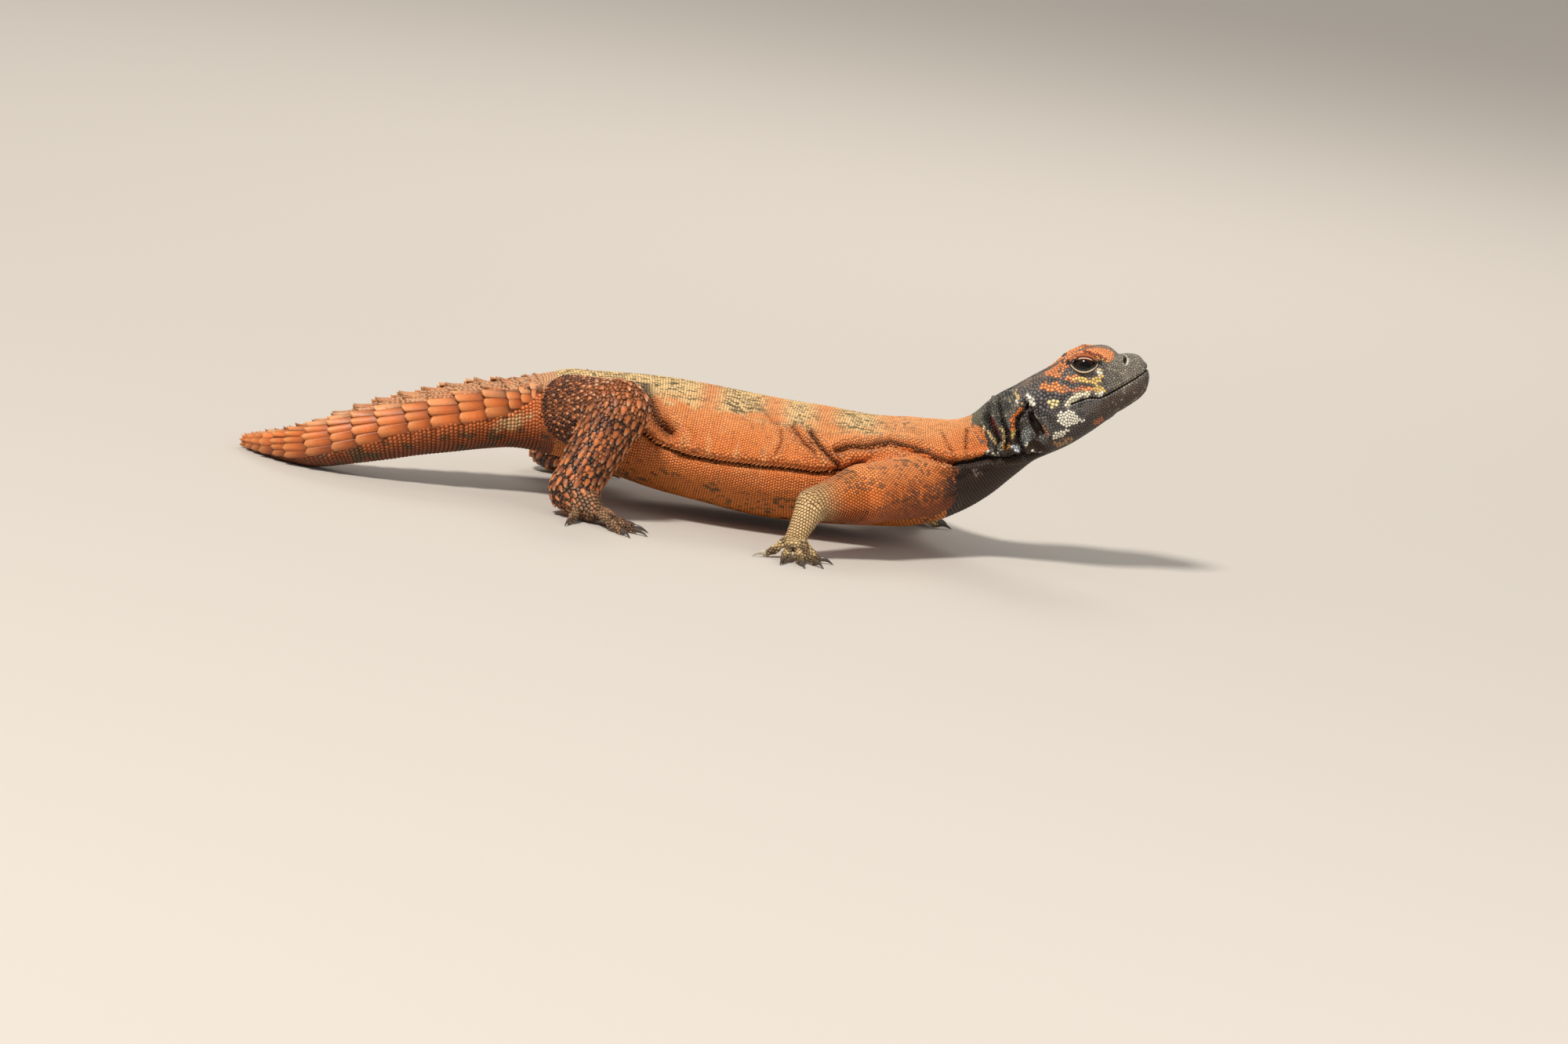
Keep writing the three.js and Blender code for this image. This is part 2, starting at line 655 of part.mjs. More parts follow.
// A leg in three nodes, modelled whole and parted at its joints, clear of the body.
function legSolids(leg, bodyRoom) {
  const [root, bend, end, knuckles] = [leg.root, leg.bend, leg.end, leg.knuckles].map(vectorOf);
  const [upperName, lowerName, footName] = leg.names;
  const whole = limbPiece(leg.root, leg.bend)
    .add(limbPiece(leg.bend, leg.end))
    .add(foot(leg))
    .subtract(bodyRoom);
  const past = (point, normal) => halfSpace(point, normal, GAP / 2);
  const acrossBend = bisector(root, bend, end);
  const acrossEnd = bisector(bend, end, knuckles);
  const beyond = largest(whole.subtract(past(bend, acrossBend.clone().negate())));
  return {
    [upperName]: whole.subtract(past(bend, acrossBend)),
    [lowerName]: beyond.subtract(past(end, acrossEnd)),
    [footName]: beyond.subtract(past(end, acrossEnd.clone().negate())),
  };
}

function buildSolids() {
  const [headEnd, neckStart] = gapAt(placeAtX(HEAD_REAR_X));
  const [neckEnd, trunkStart] = gapAt(placeAtX(NECK_REAR_X));
  const [trunkEnd, tailStart] = gapAt(placeAtX(TRUNK_REAR_X));
  const neckAngles = evenAngles(SIDES.neck);
  const trunkAngles = foldedAngles(SIDES.trunk);
  const neckPlaces = evenPlaces(neckStart, neckEnd, SECTIONS.neck);
  const trunkPlaces = evenPlaces(trunkStart, trunkEnd, SECTIONS.trunk);
  const tailPlaces = evenPlaces(tailStart - 0.1, placeAtX(LEG_ROOM_REAR_X), SECTIONS.room);

  const bodyRoom = joined([
    bodyLength(neckPlaces, neckAngles, undefined, GAP),
    bodyLength(trunkPlaces, trunkAngles, flankFold, GAP),
    bodyLength(tailPlaces, evenAngles(SIDES.tail), undefined, GAP),
  ]);
  const solids = {
    head: headSolid(0, headEnd),
    left_eye: headBall(EYE, 1),
    right_eye: headBall(EYE, -1),
    neck: bodyLength(neckPlaces, neckAngles, neckFolds),
    torso: bodyLength(trunkPlaces, trunkAngles, flankFold),
    ...tailSolids(tailStart),
  };
  for (const leg of Object.values(LEGS)) Object.assign(solids, legSolids(leg, bodyRoom));
  for (const name of Object.keys(solids))
    solids[name] = largest(solids[name].subtract(BELOW_FLOOR));
  return solids;
}

const FINISHES = {
  dark_skin: { color: 0x33302f, roughness: 0.7 },
  orange_skin: { color: 0xd9712a, roughness: 0.65 },
  eye: { color: 0x1a100a, roughness: 0.1 },
};

function finishOf(name) {
  if (name.endsWith("eye")) return FINISHES.eye;
  return name === "head" || name === "neck" ? FINISHES.dark_skin : FINISHES.orange_skin;
}

// The solids as named meshes, moved so that the origin is under the middle of the whole animal.
function buildModel() {
  const solids = buildSolids();
  const box = new THREE.Box3();
  for (const solid of Object.values(solids)) {
    const { min, max } = solid.boundingBox();
    box.expandByPoint(new THREE.Vector3(...min)).expandByPoint(new THREE.Vector3(...max));
  }
  const middle = box.getCenter(new THREE.Vector3());
  const animal = new THREE.Group();
  for (const [name, solid] of Object.entries(solids)) {
    const mesh = solid.getMesh();
    const geometry = new THREE.BufferGeometry();
    geometry.setAttribute("position", new THREE.BufferAttribute(mesh.vertProperties, 3));
    geometry.setIndex(new THREE.BufferAttribute(mesh.triVerts, 1));
    geometry.translate(-middle.x, -middle.y, 0);
    const piece = new THREE.Mesh(geometry, new THREE.MeshStandardMaterial(finishOf(name)));
    piece.name = name;
    animal.add(piece);
  }
  return animal;
}

export default buildModel();
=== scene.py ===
"""A life-size orange spiny-tailed lizard with a raised head: skin, scales, spines, eyes and claws."""

import math
from types import SimpleNamespace

import bmesh
import bpy
import numpy as np
import openvdb
from mathutils import Matrix, Vector
from mathutils.bvhtree import BVHTree
from mathutils.kdtree import KDTree


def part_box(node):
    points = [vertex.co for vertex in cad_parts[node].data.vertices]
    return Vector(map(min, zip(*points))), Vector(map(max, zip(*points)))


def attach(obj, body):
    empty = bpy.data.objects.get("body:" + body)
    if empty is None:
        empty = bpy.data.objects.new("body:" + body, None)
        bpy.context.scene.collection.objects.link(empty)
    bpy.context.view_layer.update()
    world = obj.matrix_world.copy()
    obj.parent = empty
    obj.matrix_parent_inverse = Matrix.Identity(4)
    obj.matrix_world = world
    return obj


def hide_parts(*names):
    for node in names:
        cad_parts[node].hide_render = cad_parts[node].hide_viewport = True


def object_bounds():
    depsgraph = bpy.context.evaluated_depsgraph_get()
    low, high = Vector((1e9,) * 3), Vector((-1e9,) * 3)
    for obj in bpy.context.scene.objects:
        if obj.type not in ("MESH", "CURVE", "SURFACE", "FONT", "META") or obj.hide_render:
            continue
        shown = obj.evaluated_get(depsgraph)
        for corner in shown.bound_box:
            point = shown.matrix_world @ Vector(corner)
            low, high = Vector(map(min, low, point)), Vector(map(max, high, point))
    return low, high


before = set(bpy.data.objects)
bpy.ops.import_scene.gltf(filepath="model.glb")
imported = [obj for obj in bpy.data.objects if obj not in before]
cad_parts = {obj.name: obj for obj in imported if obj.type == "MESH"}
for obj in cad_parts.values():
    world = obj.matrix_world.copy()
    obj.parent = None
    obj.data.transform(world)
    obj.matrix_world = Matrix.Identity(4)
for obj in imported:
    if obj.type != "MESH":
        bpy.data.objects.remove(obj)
cad_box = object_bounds()

# Sizes are in millimetres in the animal's own axes: x forward, y to its left, z up from the floor.
MM = 0.001
RANDOM = np.random.default_rng(21)

HEAD_ORIGIN = np.array([80.0, -2.0, 50.9])
HEAD_PITCH = math.radians(36)
HEAD_AXES = np.array([
    [math.cos(HEAD_PITCH), 0, math.sin(HEAD_PITCH)],
    [0, 1, 0],
    [-math.sin(HEAD_PITCH), 0, math.cos(HEAD_PITCH)],
])

# The head's cross-sections from snout to nape: distance along its axis, height of the crown and
# depth of the jaw from the axis, half-width, and the power of the superellipse.
HEAD_ROWS = [
    [41.9, 1.2, 3.9, 2.6, 2.2],
    [40.6, 3.6, 6.5, 5.7, 2.3],
    [38, 5.4, 9.2, 7.5, 2.4],
    [34.4, 6.7, 11.7, 8.9, 2.4],
    [30.4, 9.6, 12.8, 10.3, 2.4],
    [26, 12.9, 12.8, 11.6, 2.4],
    [20.5, 13.2, 13, 13.2, 2.4],
    [13.5, 12.8, 13.8, 15.4, 2.4],
    [6, 12.8, 14.3, 17.2, 2.3],
    [-1, 12.7, 13.9, 17, 2.2],
    [-8, 12.8, 13.6, 15.4, 2.1],
]

# The rest of the axis from neck to tail tip: x, y and z of the centre, half-width, reach above and
# below the centre, and power.
BODY_ROWS = [
    [67, -1.6, 38.8, 15.2, 13, 13.2, 2.1],
    [59.8, -0.9, 33.2, 17, 14.6, 15, 2.1],
    [51.5, 0, 28.9, 21.2, 17, 17, 2.2],
    [41, 1, 25.6, 25.6, 18.7, 18.7, 2.3],
    [26, 2.5, 23.8, 29.6, 18.8, 19, 2.3],
    [8, 4, 23.1, 33.2, 19.8, 19.9, 2.3],
    [-10, 5, 23.1, 35.2, 20, 20, 2.3],
    [-28, 5.3, 24.6, 35.4, 19.6, 19.6, 2.3],
    [-45, 5, 26.1, 32.8, 19, 19.1, 2.3],
    [-60, 4.2, 27.4, 28, 17.5, 17.6, 2.3],
    [-73, 3, 28.2, 22.8, 16, 16.1, 2.2],
    [-86, 1.5, 28, 18, 14, 14, 2.2],
    [-98, -1, 27, 15.6, 11.6, 12.2, 2.2],
    [-110, -5, 25.4, 15.4, 11.3, 12.2, 2.2],
    [-121, -9, 23, 14.8, 10.9, 12, 2.2],
    [-132, -12, 20.2, 13.6, 10.3, 11.6, 2.2],
    [-142, -14, 17, 12.2, 9.6, 11.2, 2.2],
    [-153, -14.3, 13, 10.8, 8.6, 10.2, 2.2],
    [-163, -12.3, 9, 9.4, 7, 8.9, 2.2],
    [-173, -5.2, 5.8, 7.6, 5.2, 6.6, 2.1],
    [-181, 3, 3.8, 5.4, 3.6, 4.6, 2],
    [-187, 9.6, 2.6, 2.6, 1.8, 3.2, 2],
]

SKIN_DEPTH = 0.45  # how far the skin lies inside the outside of the scales

# The limbs as chains of balls: x, y, z and radius. heading and fan give the digits' directions in
# degrees, and setback how far back the outer digit grows.
LEGS = {
    "right_fore": dict(
        chain=[(49, -13, 24.5, 11), (25, -42, 21.8, 10.2), (8.5, -58, 18.4, 5.5)],
        knuckles=(3.8, -63, 5.6), palm=3.3, heading=-76, fan=(62, 24, 0, -24, -70), setback=0.1,
        digits=(8, 11.5, 13.5, 13, 9.5), claw=3.6),
    "left_fore": dict(
        chain=[(49, 14, 25.5, 11), (36, 43, 21, 9.6), (41, 37, 8.8, 6.6)],
        knuckles=(44, 44, 5), palm=3.6, heading=70, fan=(-60, -26, 0, 24, 62), setback=0.1,
        digits=(7, 10, 12, 11.5, 8.5), claw=3.6),
    "right_hind": dict(
        chain=[(-79, -8, 31, 12.6), (-61.5, -38, 38, 10.4), (-73, -41, 9.6, 8)],
        knuckles=(-65.4, -49, 4.3), palm=3.9, heading=-38, fan=(46, 24, 4, -18, -64), setback=0.55,
        digits=(9, 12.5, 16, 17.5, 12), claw=4.4),
    "left_hind": dict(
        chain=[(-79, 12, 30, 12.6), (-60, 46, 26, 10.2), (-84, 50, 9.6, 8)],
        knuckles=(-76, 58, 4.3), palm=3.9, heading=38, fan=(-46, -24, -4, 18, 64), setback=0.55,
        digits=(9, 12.5, 16, 17.5, 12), claw=4.4),
}
DIGIT_RADIUS = 1.2

# The tail's rings of scales.
WHORLS = 20
WHORL_START_X = -89.0
WHORL_PITCH = dict(first=1.9, growth=1.42, longest=9, longest_at=5, loss=0.33)
WHORL_STEP = 1.3

# The head's features in its own axes: along, left and up from between the ears.
EYE_NODE = (23.6, 8.0)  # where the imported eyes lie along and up
EYE = SimpleNamespace(along=24.0, left=8.0, rise=8.3, radius=4.1, lid=0.5)
OPENING = SimpleNamespace(along=24.2, rise=9.5, size=(3.8, 1.8), tilt=-0.475)
NOSTRIL = SimpleNamespace(along=36.8, rise=3.2, size=(0.6, 1.1), tilt=-0.4)
EAR_SLIT = [(0.9, 5.2), (0.2, 2.5), (0.0, -0.5), (0.2, -4.2)]
EAR_WIDTH = 1.7
BROW_EDGE = [(19.6, 12.6), (22.2, 12.9), (25.3, 12.1), (28.2, 9.6), (30.8, 6.8)]
MOUTH_LINE = [(14, -0.3), (17, -0.8), (20.5, -1.6), (23.3, -3.4), (26, -3.8), (31.8, -3.9), (37, -3.8),
              (44, -3.5)]

# Folds of the skin, as lines in the side view (x, z), each with its depth, half-width and the swell
# beside it. The skin above the flank's fold hangs over it.
FLANK_FOLD = [(-58, 34), (-52, 30.2), (-46.7, 27.3), (-36, 25.1), (-24.5, 24.9), (-13, 25.2),
              (-4, 25.6), (8.6, 25.6), (16.4, 27), (22, 30)]
FLANKS = SimpleNamespace(middle=3, reach=39)  # folds lie no further to the side than this
FOLDS = [
    ([(-57, 47), (-53.5, 42.5), (-51, 38), (-48, 33.8), (-43.8, 31.4)], 5.6, 2.3, 0.9),
    ([(-1.8, 38), (2.2, 34.4), (6.7, 31.4)], 1.7, 0.8, 0.7),
    ([(4.6, 37), (8, 33.6), (12, 30.6), (15.4, 28)], 2.6, 0.9, 0.9),
    ([(-5.5, 36.5), (-4.8, 33), (-6, 29.5)], 0.8, 0.7, 0.4),
    ([(-20, 43), (-12.5, 40.8), (-7.3, 38)], 0.9, 0.7, 0.3),
    ([(14, 32.6), (17.7, 34.3), (24.4, 35.2), (32.1, 37.4), (40.3, 36.4), (47.4, 34.6), (54.5, 33)],
     2.9, 1.0, 0.9),
    ([(54.5, 33), (60.7, 34.7), (65.9, 36.6), (71.3, 37.4), (77.7, 39.2), (84.9, 39.6)], 2.6, 0.9, 1.1),
    ([(57.4, 44.1), (58, 38.4)], 1.3, 0.6, 0.3),
    ([(49.4, 41.9), (53.8, 36.2)], 0.9, 0.6, 0.3),
    ([(62.6, 55), (63.8, 52.3), (64.5, 48.6), (66.3, 45.8), (68.7, 42.7), (69.4, 39.5)], 3.4, 1.0, 1.2),
    ([(66.3, 60), (67.2, 56.6), (67.6, 53.5), (69.1, 49.6), (71, 46.2), (71.6, 43), (71.6, 40)],
     3.0, 0.8, 1.1),
    ([(76.6, 57), (75.7, 54), (74.1, 51.5), (74.2, 48.7), (75.3, 44.9), (76.9, 41)], 2.8, 0.8, 1.1),
]

VOXEL = 1.18  # edge of the cells of the volume that the skin is drawn from
BAND = 6  # voxels on each side of a surface that hold its distance
LIMB_BLEND = 3.2  # how softly a limb runs into the body
JOINT_BLEND = 1.5  # and the lengths of a limb into one another
DIGIT_BLEND = 1.6
SOLE = 0.25  # height of the flat undersides over the floor
LOWEST = SimpleNamespace(skin=0.2, scales=0.05, claws=0.04)


def unit(vectors):
    return vectors / np.maximum(np.linalg.norm(vectors, axis=-1, keepdims=True), 1e-9)


def bell(value, middle, width):
    return np.exp(-(((value - middle) / width) ** 2))


def ramp(value, start, stop):
    f = np.clip((value - start) / (stop - start), 0, 1)
    return f * f * (3 - 2 * f)


def smooth(rows, t):
    """Values of smooth curves through evenly spaced rows, at the places t."""
    last = len(rows) - 1
    i = np.clip(np.floor(t).astype(int), 0, last - 1)
    f = (t - i)[:, None]
    a, b, c, d = (rows[np.clip(i + k, 0, last)] for k in (-1, 0, 1, 2))
    square = (2 * a - 5 * b + 4 * c - d) * f * f
    return 0.5 * (2 * b + (c - a) * f + square + (3 * b - a - 3 * c + d) * f ** 3)


def dot(a, b):
    return np.einsum("ij,ij->i", a, b)


def turns(count, phase=0.0):
    """Evenly spaced angles of a full turn."""
    return (np.arange(count) + phase) * 2 * math.pi / count


def arc_lengths(path):
    """The length of a path of points up to each of them."""
    return np.concatenate([[0], np.cumsum(np.linalg.norm(np.diff(path, axis=0), axis=1))])


def along_path(where, lengths, path):
    """The points of a path at the given lengths along it."""
    return np.stack([np.interp(where, lengths, values) for values in path.T], -1)


def flattened(lie, normals):
    """Directions laid flat in the planes across the normals."""
    return unit(lie - np.sum(lie * normals, 1, keepdims=True) * normals)


def from_segment(places, a, b):
    """The shares from 0 to 1 along a straight length that are nearest to places, and the offsets."""
    share = np.clip((places - a) @ (b - a) / ((b - a) @ (b - a)), 0, 1)
    return share, places - a - share[:, None] * (b - a)


def hashed(cells, seed):
    """Repeatable random numbers from 0 to 1 for whole-number places."""
    n = cells[..., 0] * 73856093 ^ cells[..., 1] * 19349663 ^ cells[..., 2] * 83492791 ^ seed * 97531
    n = (n ^ (n >> 13)) * 1274126177
    return ((n ^ (n >> 16)) & 0xFFFFFF) / 0x1000000


def noise(points, size, seed=0):
    """Smooth noise from 0 to 1 with lumps of the given size."""
    places = points / size
    base = np.floor(places).astype(np.int64)
    f = places - base
    f = f * f * (3 - 2 * f)
    total = np.zeros(len(points))
    for corner in np.ndindex(2, 2, 2):
        weight = np.prod(np.where(corner, f, 1 - f), axis=1)
        total += weight * hashed(base + np.array(corner), seed)
    return total


def to_head(points):
    """Distances along, to the left and up in the head's own axes."""
    return (points - HEAD_ORIGIN) @ HEAD_AXES.T


def from_head(places):
    return np.asarray(places, float) @ HEAD_AXES + HEAD_ORIGIN


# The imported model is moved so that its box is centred, and the eyes show how far.
eye_boxes = [np.array(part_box(name)) / MM for name in ("left_eye", "right_eye")]
SHIFT = np.mean(eye_boxes, axis=(0, 1)) - from_head([EYE_NODE[0], 0, EYE_NODE[1]])


def head_row(along, crown, jaw, side, power):
    centre = from_head([along, 0, (crown - jaw) / 2])
    half = (crown + jaw) / 2
    return [*centre, side, half, half, power]


AXIS = np.array([head_row(*row) for row in HEAD_ROWS] + BODY_ROWS)
LAST = len(AXIS) - 1


def sections(t):
    """The cross-sections at places t along the body's axis, in rows from the snout."""
    t = np.atleast_1d(np.asarray(t, float))
    values = smooth(AXIS, t)
    step = 0.02
    forward = smooth(AXIS, t - step)[:, :3] - smooth(AXIS, t + step)[:, :3]
    speed = np.linalg.norm(forward, axis=1) / (2 * step)
    forward = unit(forward)
    left = unit(np.cross([0, 0, 1], forward))
    return SimpleNamespace(
        t=t, centre=values[:, :3], side=values[:, 3], up=values[:, 4], down=values[:, 5],
        power=values[:, 6], forward=forward, left=left, top=np.cross(forward, left), speed=speed)


def outline(s, angle, grow=0.0):
    """Points of the sections' outlines at the given angles, moved out by grow."""
    c, sn = np.cos(angle), np.sin(angle)
    bend = 2 / s.power
    across = (s.side + grow) * np.sign(c) * np.abs(c) ** bend
    rise = (np.where(sn > 0, s.up, s.down) + grow) * np.sign(sn) * np.abs(sn) ** bend
    return s.centre + across[:, None] * s.left + rise[:, None] * s.top


def place_at_x(x):
    """The places along the axis whose centres have these x."""
    t = np.linspace(0, LAST, 3001)
    return np.interp(-np.atleast_1d(x), -smooth(AXIS, t)[:, 0], t)


def place_of(points):
    """The places along the axis that are nearest to points of the body."""
    t = place_at_x(points[:, 0])
    for _ in range(6):
        s = sections(t)
        ahead = dot(points - s.centre, s.forward)
        t = np.clip(t - 0.7 * ahead / s.speed, 0, LAST)
    return t


def whorl_starts():
    """The places where the tail's rings start. They lengthen quickly and then shorten slowly."""
    p = WHORL_PITCH
    starts, steps = [place_at_x(WHORL_START_X)[0]], 12
    for i in range(WHORLS):
        pitch = min(p["first"] * p["growth"] ** i, p["longest"] - p["loss"] * (i - p["longest_at"]))
        t = starts[-1]
        for _ in range(steps):
            t += pitch / steps / sections(t).speed[0]
        if t > LAST - 0.25:
            break
        starts.append(t)
    return np.array([*starts, LAST])


STARTS = whorl_starts()
RING_LENGTHS = np.diff(STARTS) * sections(STARTS[:-1]).speed


def plate_floor(t):
    """The angle in degrees down to which the tail carries spines."""
    return np.interp(t, [STARTS[i] for i in (0, 2, 4, 8, 12)], (36, 24, 3, -6, -36))


def whorl_relief(t, angle):
    """How far the tail's surface lies below the rear edge of its ring."""
    i = np.clip(np.searchsorted(STARTS, t, side="right") - 1, 0, len(STARTS) - 2)
    share = (t - STARTS[i]) / (STARTS[i + 1] - STARTS[i])
    upper = ramp(np.sin(angle), -0.8, -0.35)
    size = np.minimum(1, sections(t).side / 15) * np.minimum(1, RING_LENGTHS[i] / 8)
    inside = t >= STARTS[0]
    return np.where(inside, -WHORL_STEP * size * upper * (1 - np.clip(share, 0, 1)), 0)


# The volume that holds the animal as distances to its surface.
MARGIN = 4.0
box_low, box_high = (np.array(corner) / MM - SHIFT for corner in cad_box)
ORIGIN = np.floor(box_low - MARGIN)
SHAPE = np.ceil((box_high + MARGIN - ORIGIN) / VOXEL).astype(int)


def body_field():
    """Distances to the head, neck, trunk and tail, negative inside."""
    rings, sides = 420, 120
    t = np.repeat(np.linspace(0, LAST, rings), sides)
    angle = np.tile(np.arange(sides) * 2 * math.pi / sides, rings)
    points = outline(sections(t), angle, whorl_relief(t, angle) - SKIN_DEPTH)
    corner = np.arange(rings * sides).reshape(rings, sides)
    beside = np.roll(corner, -1, axis=1)
    quads = np.stack([corner[:-1], beside[:-1], beside[1:], corner[1:]], -1).reshape(-1, 4)
    hubs = [points[:sides].mean(0), points[-sides:].mean(0)]
    ends = [(corner[0], beside[0], len(points)), (beside[-1], corner[-1], len(points) + 1)]
    fans = np.concatenate([np.stack([b, a, np.full(sides, hub)], -1) for a, b, hub in ends])
    grid = openvdb.FloatGrid.createLevelSetFromPolygons(
        (np.vstack([points, hubs]) - ORIGIN).astype(np.float32), fans.astype(np.uint32),
        quads.astype(np.uint32), openvdb.createLinearTransform(voxelSize=VOXEL), BAND)
    field = np.full(SHAPE, BAND * VOXEL, np.float32)
    grid.copyToArray(field)
    return field


def add_limb(field, a, b, blend):
    """Joins a limb's length, from ball a to ball b, to the field with a soft crease."""
    a, b = np.array(a, float), np.array(b, float)
    reach = max(a[3], b[3]) + blend + 2 * VOXEL
    first = np.floor((np.minimum(a[:3], b[:3]) - reach - ORIGIN) / VOXEL).astype(int)
    after = np.ceil((np.maximum(a[:3], b[:3]) + reach - ORIGIN) / VOXEL).astype(int)
    first, after = np.clip(first, 0, SHAPE), np.clip(after, 0, SHAPE)
    steps = [ORIGIN[k] + VOXEL * np.arange(first[k], after[k]) for k in range(3)]
    places = np.stack(np.meshgrid(*steps, indexing="ij"), -1) - a[:3]
    line = b[:3] - a[:3]
    length2 = line @ line
    narrowing = a[3] - b[3]
    slant2 = length2 - narrowing ** 2
    y = places @ line
    z = y - length2
    x2 = np.sum((places * length2 - y[..., None] * line) ** 2, -1)
    y2, z2 = y * y * length2, z * z * length2
    k = np.sign(narrowing) * narrowing ** 2 * x2
    distance = (np.sqrt(x2 * slant2 / length2) + y * narrowing) / length2 - a[3]
    distance = np.where(np.sign(y) * slant2 * y2 < k, np.sqrt(x2 + y2) / length2 - a[3], distance)
    distance = np.where(np.sign(z) * slant2 * z2 > k, np.sqrt(x2 + z2) / length2 - b[3], distance)
    part = field[tuple(slice(i, j) for i, j in zip(first, after))]
    overlap = np.maximum(blend - np.abs(part - distance), 0)
    part[...] = np.minimum(part, distance) - overlap ** 2 / (4 * blend)


def digit_chain(leg, i):
    """The balls of one digit from its root to its tip on the floor, and its heading."""
    ankle, knuckles = np.array(leg["chain"][-1][:3]), np.array(leg["knuckles"])
    heading = math.radians(leg["heading"] + leg["fan"][i])
    way = np.array([math.cos(heading), math.sin(heading), 0])
    root = knuckles + (ankle - knuckles) * (leg["setback"] if i == 4 else 0)
    length, reach = leg["digits"][i], leg["palm"] * 0.5
    tip_z = DIGIT_RADIUS * 0.9
    height = knuckles[2]
    marks = [(0, root[2]), (reach + 0.3 * length, height * 0.95),
             (reach + 0.65 * length, tip_z + (height - tip_z) * 0.34), (reach + length, tip_z)]
    radii = [r * DIGIT_RADIUS for r in (1.1, 0.95, 1.02, 0.78)]
    return [(*(root[:2] + way[:2] * d), z, r) for (d, z), r in zip(marks, radii)], way


def limb_chain(leg):
    """The balls of a limb's skin from its root to its knuckles."""
    balls = [*leg["chain"], (*leg["knuckles"], leg["palm"])]
    return [(*place, radius - SKIN_DEPTH) for *place, radius in balls]


def whole_field():
    """Distances to the whole animal, cut off flat just above the floor."""
    field = body_field()
    for leg in LEGS.values():
        limb = np.full(SHAPE, BAND * VOXEL, np.float32)
        chains = [(limb_chain(leg), JOINT_BLEND)]
        chains += [(digit_chain(leg, i)[0], DIGIT_BLEND) for i in range(5)]
        for chain, blend in chains:
            for a, b in zip(chain, chain[1:]):
                add_limb(limb, a, b, blend)
        overlap = np.maximum(LIMB_BLEND - np.abs(field - limb), 0)
        field = np.minimum(field, limb) - overlap ** 2 / (4 * LIMB_BLEND)
    height = ORIGIN[2] + VOXEL * np.arange(SHAPE[2])
    return np.maximum(field, SOLE - height)


def edge_pairs(faces):
    pairs = np.concatenate([np.stack([faces[:, i], faces[:, (i + 1) % 4]], -1) for i in range(4)])
    pairs = pairs[pairs[:, 0] != pairs[:, 1]]
    return np.unique(np.sort(pairs, axis=1), axis=0)


def corner_lists(faces):
    """The faces as lists. A triangle is held as four corners of which the last two are the same."""
    return [face if face[2] != face[3] else face[:3] for face in faces.tolist()]


def relaxed(points, faces, rounds):
    """Smooths a surface without shrinking it."""
    pairs = edge_pairs(faces)
    both = np.concatenate([pairs, pairs[:, ::-1]])
    count = np.bincount(both[:, 0], minlength=len(points))[:, None]
    for step in [0.5, -0.52] * rounds:
        near = np.stack([np.bincount(both[:, 0], points[both[:, 1], k], len(points))
                         for k in range(3)], -1)
        points = points + step * (near / np.maximum(count, 1) - points)
    return points


def surface_normals(points, faces):
    diagonal = np.cross(points[faces[:, 2]] - points[faces[:, 0]],
                        points[faces[:, 3]] - points[faces[:, 1]])
    normals = np.zeros_like(points)
    for k in range(4):
        for axis in range(3):
            normals[:, axis] += np.bincount(faces[:, k], diagonal[:, axis], len(points))
    return unit(normals)


def refined(points, faces, chosen):
    """Splits the chosen faces finer."""
    mesh = bpy.data.meshes.new("refined")
    mesh.from_pydata(points.tolist(), [], corner_lists(faces))
    shape = bmesh.new()
    shape.from_mesh(mesh)
    shape.faces.ensure_lookup_table()
    edges = {edge for i in np.flatnonzero(chosen) for edge in shape.faces[i].edges}
    bmesh.ops.subdivide_edges(shape, edges=list(edges), cuts=1, use_grid_fill=True)
    odd = [face for face in shape.faces if len(face.verts) > 4]
    bmesh.ops.triangulate(shape, faces=odd)
    new_points = np.array([v.co[:] for v in shape.verts])
    corners = [[v.index for v in face.verts] for face in shape.faces]
    shape.free()
    bpy.data.meshes.remove(mesh)
    return new_points, np.array([c if len(c) == 4 else [*c, c[-1]] for c in corners])


def line_distance(places, line):
    """Signed distance from places in a plane to a line of points, positive above or behind it."""
    best = np.full(len(places), np.inf)
    signed = best
    for a, b in zip(np.array(line, float), np.array(line[1:], float)):
        offset = from_segment(places, a, b)[1]
        distance = np.linalg.norm(offset, axis=1)
        side = np.sign((b - a)[0] * offset[:, 1] - (b - a)[1] * offset[:, 0])
        nearer = distance < best
        best = np.where(nearer, distance, best)
        signed = np.where(nearer, distance * side, signed)
    return signed


def from_middle(points):
    """How far to the side of the trunk's middle plane points lie."""
    return np.abs(points[:, 1] - FLANKS.middle)


def fold_relief(points, normals):
    """How far the folds of the skin move its points along their normals."""
    side_view = points[:, [0, 2]]
    sideways = ramp(np.abs(normals[:, 1]), 0.2, 0.6) * (from_middle(points) < FLANKS.reach)
    move = np.zeros(len(points))
    for line, depth, width, swell in FOLDS:
        away = np.abs(line_distance(side_view, line))
        move += swell * bell(away, 2.3 * width, 1.3 * width) - depth * bell(away, 0, width)
    above = line_distance(side_view, FLANK_FOLD)
    hidden = np.where(above > 0, bell(above, 0, 0.7), bell(above, 0, 2.0))
    move += 1.3 * bell(above, 1.6, 3.5) * (above > 0) - 3.4 * hidden
    x, _, z = points.T
    ribbed = bell(x, -24, 22) * ramp(z, 27, 31) * (1 - ramp(z, 40, 44))
    move += 0.9 * ribbed * (noise(points * [1, 0.2, 0.25], 1.9, 71) - 0.5)
    return move * sideways


def turned(places, hole):
    """Places in the head's side view along and across a tilted hole, from its middle."""
    along, rise = places[:, 0] - hole.along, places[:, 2] - hole.rise
    c, sn = math.cos(hole.tilt), math.sin(hole.tilt)
    return along * c + rise * sn, rise * c - along * sn


